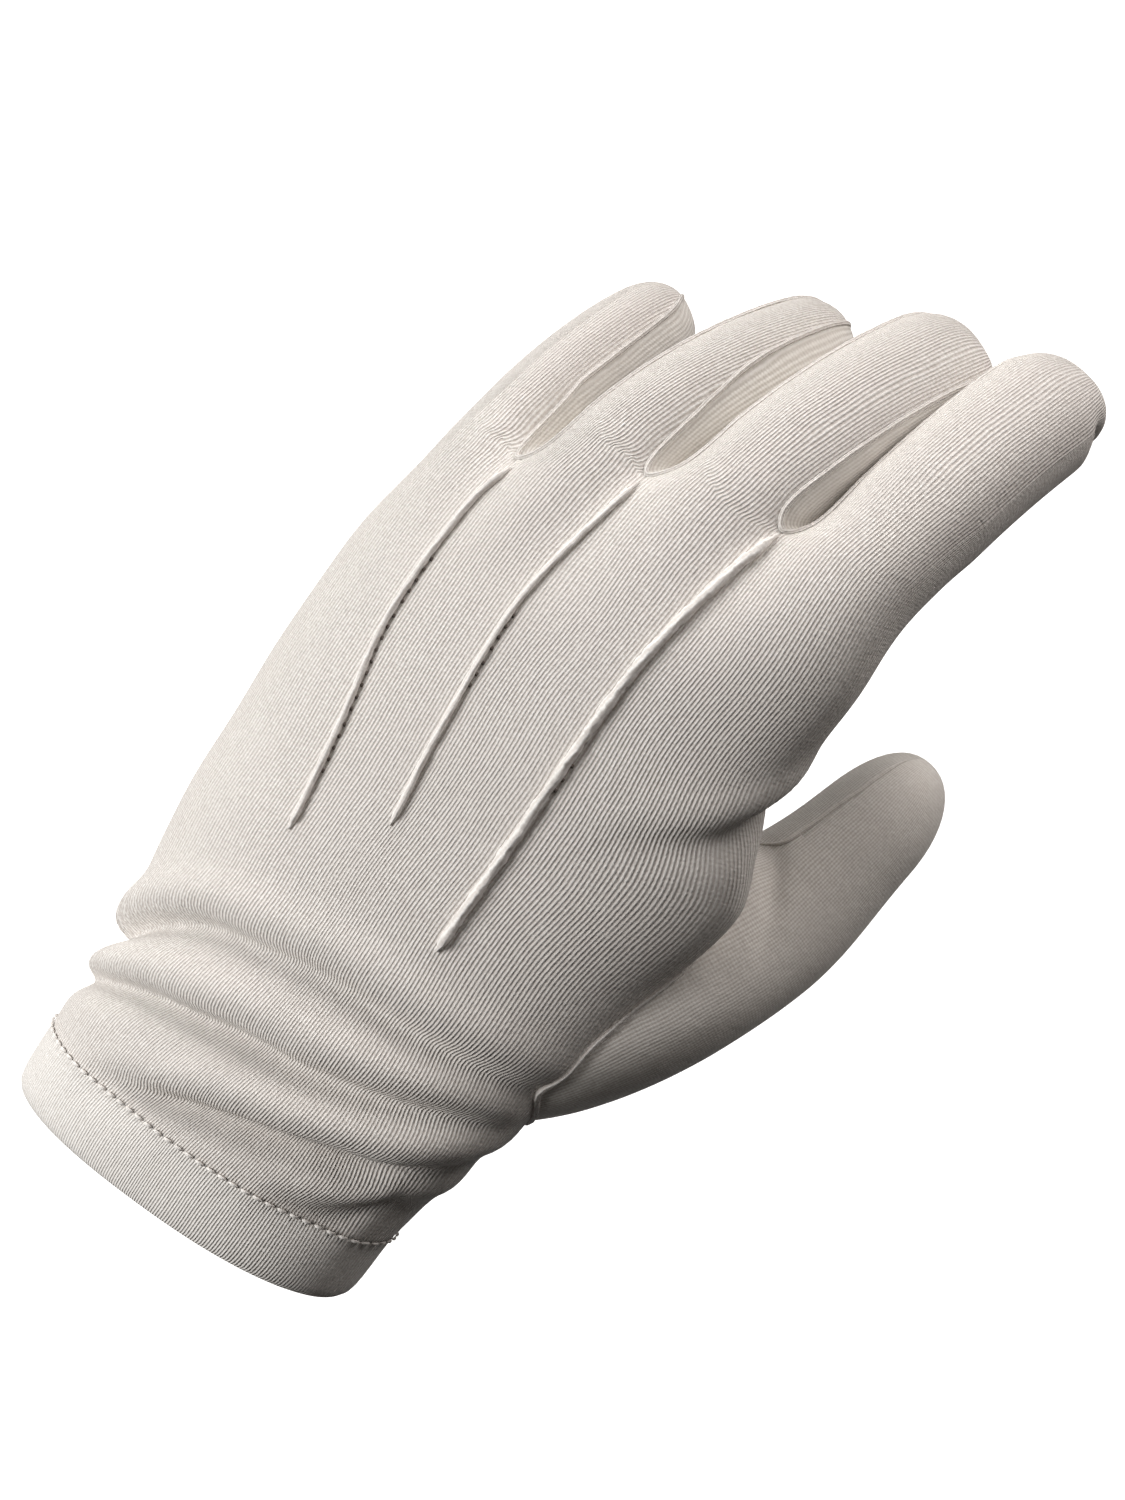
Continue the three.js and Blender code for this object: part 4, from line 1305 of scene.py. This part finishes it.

# %% [markdown]
# Each cloth is cut flat and then worn. The trank is one piece for the back and the palm with all eight finger
# faces. The strips and the thumb are cut on their own, and the hem is a band of the same cloth, folded
# double.

# %% Gathering the tucks and the welts
tuck_pieces = [bpy.data.objects[node + "_cloth"] for node in tucks]
welts = [o for o in bpy.context.scene.objects if o.name.startswith("welt_")]

# %% [markdown]
# The cloth is bleached cotton rib knit: fine ribs run up the hand and the fingers, each a column of small
# loops, with a soft fuzz of loose fibre on top. Light catches the crests of the ribs and is lost between
# them, and the fuzz gives a pale edge; the colour paints both, as painted highlight on the crests and the
# fuzz and painted shade between the ribs. The pattern reads the cloth's own UV map, which is in tenths of a
# metre of cloth, so the ribs bend with the fingers.

# %% Colours and nodes
def linear(hex_colour):
    """An sRGB hex colour as linear values."""
    parts = [int(hex_colour[k:k + 2], 16) / 255 for k in (1, 3, 5)]
    return (*[c / 12.92 if c <= 0.04045 else ((c + 0.055) / 1.055) ** 2.4 for c in parts], 1.0)


def add(tree, kind, settings, inputs):
    """Adds a node with its settings, and gives its inputs their values or links."""
    node = tree.nodes.new(kind)
    for key, value in settings.items():
        setattr(node, key, value)
    for key, value in inputs.items():
        if isinstance(value, bpy.types.NodeSocket):
            tree.links.new(value, node.inputs[key])
        else:
            node.inputs[key].default_value = value
    return node


print("white is", [round(c, 3) for c in linear("#FFFFFF")])

# %% Places across and along the ribs
drift_size = 16 * MM


def knit_places(tree, spot, hatch):
    """Millimetres across and along the ribs, with the small drift that keeps a knit from being ruled."""
    uv = add(tree, "ShaderNodeUVMap", {"uv_map": "knit"}, {})
    split_uv = add(tree, "ShaderNodeSeparateXYZ", {}, {0: uv.outputs[0]})
    drift = add(tree, "ShaderNodeTexNoise", {}, {
        "Vector": spot.outputs["Object"], "Scale": 1 / drift_size, "Detail": 1.0})
    u = add(tree, "ShaderNodeMath", {"operation": "MULTIPLY_ADD"}, {
        0: split_uv.outputs["X"], 1: uv_unit, 2: drift.outputs["Fac"]})
    v = add(tree, "ShaderNodeMath", {"operation": "MULTIPLY_ADD"}, {
        0: split_uv.outputs["Y"], 1: uv_unit, 2: drift.outputs["Fac"]})
    slanted = add(tree, "ShaderNodeMath", {"operation": "MULTIPLY_ADD"}, {
        0: v.outputs[0], 1: hatch, 2: u.outputs[0]})
    return slanted.outputs[0], v.outputs[0]

print("the ribs drift over", round(drift_size / MM), "mm")


# %% Ribs and loops
def knit_loops(tree, across, along, rib_pitch, loop_pitch, loop_share):
    """Height of the loops from -1 to 1: a wave across the ribs, and a weaker one along them."""
    rib_turn = add(tree, "ShaderNodeMath", {"operation": "MULTIPLY"}, {0: across, 1: 2 * math.pi / rib_pitch})
    rib_wave = add(tree, "ShaderNodeMath", {"operation": "COSINE"}, {0: rib_turn.outputs[0]})
    lean = add(tree, "ShaderNodeMath", {"operation": "ABSOLUTE"}, {0: rib_wave.outputs[0]})
    loop_turn = add(tree, "ShaderNodeMath", {"operation": "MULTIPLY_ADD"}, {
        0: along, 1: 2 * math.pi / loop_pitch, 2: lean.outputs[0]})
    loop_wave = add(tree, "ShaderNodeMath", {"operation": "SINE"}, {0: loop_turn.outputs[0]})
    loops = add(tree, "ShaderNodeMath", {"operation": "MULTIPLY_ADD"}, {
        0: loop_wave.outputs[0], 1: loop_share, 2: rib_wave.outputs[0]})
    return loops.outputs[0]


print("a rib is", rib, "mm wide")


# %% Fuzz and pills
fuzz_size = 0.75 * MM
pill_spacing = 3.4 * MM
pill_edge, pill_middle = 0.14, 0.05
pill_high = 0.16


def knit_fuzz(tree, spot, loops, rib_deep, fuzz_deep, pills):
    """The loops' height with loose fibre over it, and here and there a small ball of fibre."""
    fuzz = add(tree, "ShaderNodeTexNoise", {}, {
        "Vector": spot.outputs["Object"], "Scale": 1 / fuzz_size, "Detail": 4.0, "Roughness": 0.65})
    fuzzed = add(tree, "ShaderNodeMath", {"operation": "MULTIPLY_ADD"}, {
        0: fuzz.outputs["Fac"], 1: fuzz_deep / rib_deep, 2: loops})
    pill_cells = add(tree, "ShaderNodeTexVoronoi", {}, {
        "Vector": spot.outputs["Object"], "Scale": 1 / pill_spacing, "Randomness": 1.0})
    pill_size = add(tree, "ShaderNodeMapRange", {"clamp": True}, {
        "Value": pill_cells.outputs["Distance"], "From Min": pill_edge, "From Max": pill_middle})
    pill_some = add(tree, "ShaderNodeSeparateColor", {}, {"Color": pill_cells.outputs["Color"]})
    pill_pick = add(tree, "ShaderNodeMath", {"operation": "GREATER_THAN"}, {
        0: pill_some.outputs[0], 1: 1 - pills})
    pill = add(tree, "ShaderNodeMath", {"operation": "MULTIPLY"}, {
        0: pill_size.outputs["Result"], 1: pill_pick.outputs[0]})
    height = add(tree, "ShaderNodeMath", {"operation": "MULTIPLY_ADD"}, {
        0: pill.outputs[0], 1: pill_high / rib_deep, 2: fuzzed.outputs[0]})
    return height.outputs[0]


print("pills about", round(pill_spacing / MM, 1), "mm apart")


# %% The knit as a material
crease_size, crease_deep = 4.5 * MM, 0.45 * MM
patch_size = 22 * MM


def knit_material(name, crest, valley, shade, rib_pitch, loop_pitch, rib_deep, loop_share, fuzz_deep,
                  hatch=0.0, mottled=0.5, pills=0.0):
    """Knitted cotton. Pitches and depths are millimetres, hatch turns the ribs aslant."""
    material = bpy.data.materials.new(name)
    material.use_nodes = True
    tree = material.node_tree
    shader = tree.nodes["Principled BSDF"]
    spot = add(tree, "ShaderNodeTexCoord", {}, {})
    across, along = knit_places(tree, spot, hatch)
    loops = knit_loops(tree, across, along, rib_pitch, loop_pitch, loop_share)
    height = knit_fuzz(tree, spot, loops, rib_deep, fuzz_deep, pills)
    creases = add(tree, "ShaderNodeTexNoise", {}, {
        "Vector": spot.outputs["Object"], "Scale": 1 / crease_size, "Detail": 3.0, "Roughness": 0.55})
    soft_bump = add(tree, "ShaderNodeBump", {}, {
        "Strength": 0.55, "Distance": crease_deep, "Height": creases.outputs["Fac"]})
    bump = add(tree, "ShaderNodeBump", {}, {
        "Strength": 1.0, "Distance": rib_deep / 2 * MM, "Height": height,
        "Normal": soft_bump.outputs["Normal"]})
    fuzz_middle = 0.5 * fuzz_deep / rib_deep
    # The colour follows the height: painted shade in the valleys between the ribs, painted highlight on the
    # crests, the fuzz and the pills.
    lit = add(tree, "ShaderNodeMapRange", {"clamp": True}, {
        "Value": height, "From Min": fuzz_middle - 1.0, "From Max": fuzz_middle + 1.1})
    rib_shade_and_highlight = add(tree, "ShaderNodeMix", {"data_type": "RGBA"}, {
        0: lit.outputs["Result"], 6: linear(valley), 7: linear(crest)})
    patches = add(tree, "ShaderNodeTexNoise", {}, {
        "Vector": spot.outputs["Object"], "Scale": 1 / patch_size, "Detail": 3.0})
    patch_amount = add(tree, "ShaderNodeMapRange", {"clamp": True}, {
        "Value": patches.outputs["Fac"], "From Min": 0.42, "From Max": 0.75, "To Max": mottled})
    colour = add(tree, "ShaderNodeMix", {"data_type": "RGBA"}, {
        0: patch_amount.outputs["Result"], 6: rib_shade_and_highlight.outputs[2], 7: linear(shade)})
    tree.links.new(colour.outputs[2], shader.inputs["Base Color"])
    tree.links.new(bump.outputs["Normal"], shader.inputs["Normal"])
    shader.inputs["Roughness"].default_value = 0.88
    shader.inputs["Specular IOR Level"].default_value = 0.2
    shader.inputs["Sheen Weight"].default_value = 0.25
    shader.inputs["Sheen Roughness"].default_value = 0.45
    shader.inputs["Sheen Tint"].default_value = linear("#FFFBF5")
    print(name, len(tree.nodes), "nodes")
    return material


# %% [markdown]
# All the cloths are one bleached cotton, and differ in how they are knitted, worn or sewn. So one recipe
# makes them all. What tells them apart is how deep the ribs are, how much fibre lies over them and how dark
# the painted shade in the valleys between the ribs is.

# %% The cloths
# The body's knit: crisp fine ribs with fibre over them, which gives the back its grain.
cotton = knit_material(
    "bleached_cotton_rib_knit", crest="#FCF9F5", valley="#D0C8C2", shade="#E6E0DB", rib_pitch=rib,
    loop_pitch=0.8, rib_deep=0.16, loop_share=0.16, fuzz_deep=0.6, pills=0.3)
# The side strips: flatter and smoother, and darker in colour, which is painted shade in the slots between the
# fingers, so that the slots stand out.
strip_cotton_painted_shade = knit_material(
    "bleached_cotton_plain_knit_painted_shade", crest="#F0EDE8", valley="#CCC6BF", shade="#DDD8D2", rib_pitch=0.7,
    loop_pitch=0.6, rib_deep=0.05, loop_share=0.3, fuzz_deep=0.12, mottled=0.6)
# The hem: doubled and pressed, so it is the whitest and its ribs are soft.
hem_cotton = knit_material(
    "folded_cotton_rib_knit", crest="#FFFDFA", valley="#E2DCD6", shade="#F2EDE9", rib_pitch=rib,
    loop_pitch=0.8, rib_deep=0.14, loop_share=0.16, fuzz_deep=0.5)
# The thumb: stretched smooth, so its ribs hardly show.
thumb_cotton = knit_material(
    "bleached_cotton_thumb_knit", crest="#FBF8F3", valley="#DAD3CC", shade="#E8E2DC", rib_pitch=0.6,
    loop_pitch=0.6, rib_deep=0.035, loop_share=0.3, fuzz_deep=0.12)
# The tucks: drawn tight by their stitches, pale along the crest.
tuck_cotton = knit_material(
    "sewn_cotton_tuck", crest="#FDFAF7", valley="#E2DCD7", shade="#ECE7E2", rib_pitch=0.9,
    loop_pitch=0.8, rib_deep=0.05, loop_share=0.25, fuzz_deep=0.2, hatch=0.08)
# The sewing thread: the brightest white, with hardly any fuzz.
thread = knit_material(
    "white_cotton_thread", crest="#FFFDFA", valley="#F0EAE5", shade="#F6F2EE", rib_pitch=0.5,
    loop_pitch=0.5, rib_deep=0.04, loop_share=0.2, fuzz_deep=0.03)

# %% The shade in a needle hole
# A dark warm grey with a little lint in it, as painted shade: the eye reads it as a hole that goes through
# the cloth.
lint_size = 0.4 * MM
hole_painted_shade = bpy.data.materials.new("shadow_in_needle_hole")
hole_painted_shade.use_nodes = True
tree = hole_painted_shade.node_tree
spot = add(tree, "ShaderNodeTexCoord", {}, {})
lint = add(tree, "ShaderNodeTexNoise", {}, {"Vector": spot.outputs["Object"], "Scale": 1 / lint_size})
dark_mix = add(tree, "ShaderNodeMix", {"data_type": "RGBA"}, {
    0: lint.outputs["Fac"], 6: linear("#4E4641"), 7: linear("#948B84")})
tree.links.new(dark_mix.outputs[2], tree.nodes["Principled BSDF"].inputs["Base Color"])
tree.nodes["Principled BSDF"].inputs["Roughness"].default_value = 0.95
print(hole_painted_shade.name, len(tree.nodes), "nodes")

# %% [markdown]
# The thumb gets painted shade on the hand's side of its seam, where it turns away from the light. Its faces
# are found by their angle round the thumb, and get the side strips' cloth, whose darker colour is painted
# shade.

# %% Dressing the pieces
thumb_bare = 121.0
thumb_under = 205.0


def thumb_side_of(point):
    """Whether a point of the thumb lies on the hand's side of the seam down its back."""
    apart = np.linalg.norm(thumb_path["place"] - point, axis=1)
    k = int(apart.argmin())
    away = point - thumb_path["place"][k]
    turn = math.degrees(math.atan2(away @ thumb_path["up"][k], away @ thumb_path["across"][k])) % 360
    far = thumb_path["length"] * k / path_steps
    far = np.clip(far, thumb_seam[0]["along"], thumb_seam[-1]["along"])
    return float(ease(thumb_seam, "angle", far)) < turn < thumb_under


thumb_painted_shade_faces = [int(p.index) for p in thumb.data.polygons
              if p.center.y / MM > thumb_bare and thumb_side_of(np.array(p.center) / MM)]
seam_welts = [welt for welt in welts if welt != thumb_side_welt]
finishes = {cotton: [trank, *seam_welts], thumb_cotton: [thumb, thumb_side_welt], strip_cotton_painted_shade: strips,
            hem_cotton: [hem], tuck_cotton: tuck_pieces, thread: [hem_stitches], hole_painted_shade: [needle_holes]}
for material, dressed in finishes.items():
    for piece in dressed:
        piece.data.materials.clear()
        piece.data.materials.append(material)
# The second material slot gives the thumb's painted shade, in the side strips' darker cloth.
thumb.data.materials.append(strip_cotton_painted_shade)
for number in thumb_painted_shade_faces:
    thumb.data.polygons[number].material_index = 1
print("dressed", sum(len(dressed) for dressed in finishes.values()), "pieces")

# %% [markdown]
# The camera looks from where the photo was taken, above the back of the hand and a little toward the
# fingertips. The floor is a plain white sheet of paper, lit evenly from within its own material, so
# that its pale bounce doesn't wash out the shade under the hand.

# %% Camera
lens_mm = 97.8
eye = Vector((226.5, 327.2, 700.7)) * MM
right = Vector((0.7348, 0.5547, -0.3910))
up = Vector((-0.6176, 0.7854, -0.0467))
back = right.cross(up)
camera_data = bpy.data.cameras.new("camera")
camera_data.lens = lens_mm
camera = bpy.data.objects.new("camera", camera_data)
camera.matrix_world = Matrix.Translation(eye) @ Matrix((right, up, back)).transposed().to_4x4()
bpy.context.scene.collection.objects.link(camera)
bpy.context.scene.camera = camera
print("camera", round(eye.length, 2), "m from the opening, lens", lens_mm, "mm")

# %% Floor
floor_size, floor_low = 12.0, -0.16
bpy.ops.mesh.primitive_plane_add(size=floor_size, location=(0, 0, floor_low))
floor = bpy.context.object
floor.name = "floor"
floor.visible_diffuse = False
paper = bpy.data.materials.new("white_paper")
paper.use_nodes = True
tree = paper.node_tree
shader = tree.nodes["Principled BSDF"]
spot = add(tree, "ShaderNodeTexCoord", {}, {})
grain = add(tree, "ShaderNodeTexNoise", {}, {
    "Vector": spot.outputs["Object"], "Scale": 400.0, "Detail": 3.0})
paper_colour = add(tree, "ShaderNodeMix", {"data_type": "RGBA"}, {
    0: grain.outputs["Fac"], 6: linear("#F5F4F2"), 7: linear("#FBFAF8")})
tree.links.new(paper_colour.outputs[2], shader.inputs["Base Color"])
shader.inputs["Roughness"].default_value = 0.9
shader.inputs["Specular IOR Level"].default_value = 0.1
shader.inputs["Emission Color"].default_value = (1, 1, 1, 1)
shader.inputs["Emission Strength"].default_value = 0.75
floor.data.materials.append(paper)
print("floor", floor_size, "m wide")

# %% [markdown]
# Three large soft lamps stand round the glove, a metre away: the main one on the left, one that fills
# the fingers from the right, and one above that draws the upper edges. Their strengths were balanced
# against the light and the shade in the photo.

# %% Lights
lamp_far = 1.0
lamp_size = 0.6


def soft_light(name, direction, watts, colour):
    """A square soft light that faces the glove."""
    data = bpy.data.lights.new(name, "AREA")
    data.size = lamp_size
    data.energy = watts
    data.color = linear(colour)[:3]
    lamp = bpy.data.objects.new(name, data)
    bpy.context.scene.collection.objects.link(lamp)
    aim = Vector((0.0, 0.1, 0.0))
    place = aim + direction.normalized() * lamp_far
    turn = (place - aim).to_track_quat("Z", "Y").to_matrix().to_4x4()
    lamp.matrix_world = Matrix.Translation(place) @ turn


soft_light("key_left", up * 0.2 - right * 0.9 + back * 0.4, 10.4, "#FFFEFC")
soft_light("fill_fingers", up * 0.6 + right * 0.6 + back * 0.4, 5.8, "#FFF9F5")
soft_light("rim_above", up * 1.0 + back * 0.05, 5.7, "#FFFDFB")
print("three lamps")

# %% The room round the glove
# The camera sees the room nearly white, but it lends the glove only a little light.
world = bpy.data.worlds.new("studio")
bpy.context.scene.world = world
world.use_nodes = True
room = world.node_tree.nodes["Background"]
seen = add(world.node_tree, "ShaderNodeLightPath", {}, {})
room_light = add(world.node_tree, "ShaderNodeMapRange", {}, {
    "Value": seen.outputs["Is Camera Ray"], "To Min": 0.03, "To Max": 0.95})
world.node_tree.links.new(room_light.outputs["Result"], room.inputs["Strength"])
room.inputs["Color"].default_value = linear("#FFF6EE")
bpy.context.scene.view_settings.view_transform = "Standard"
print("room ready")
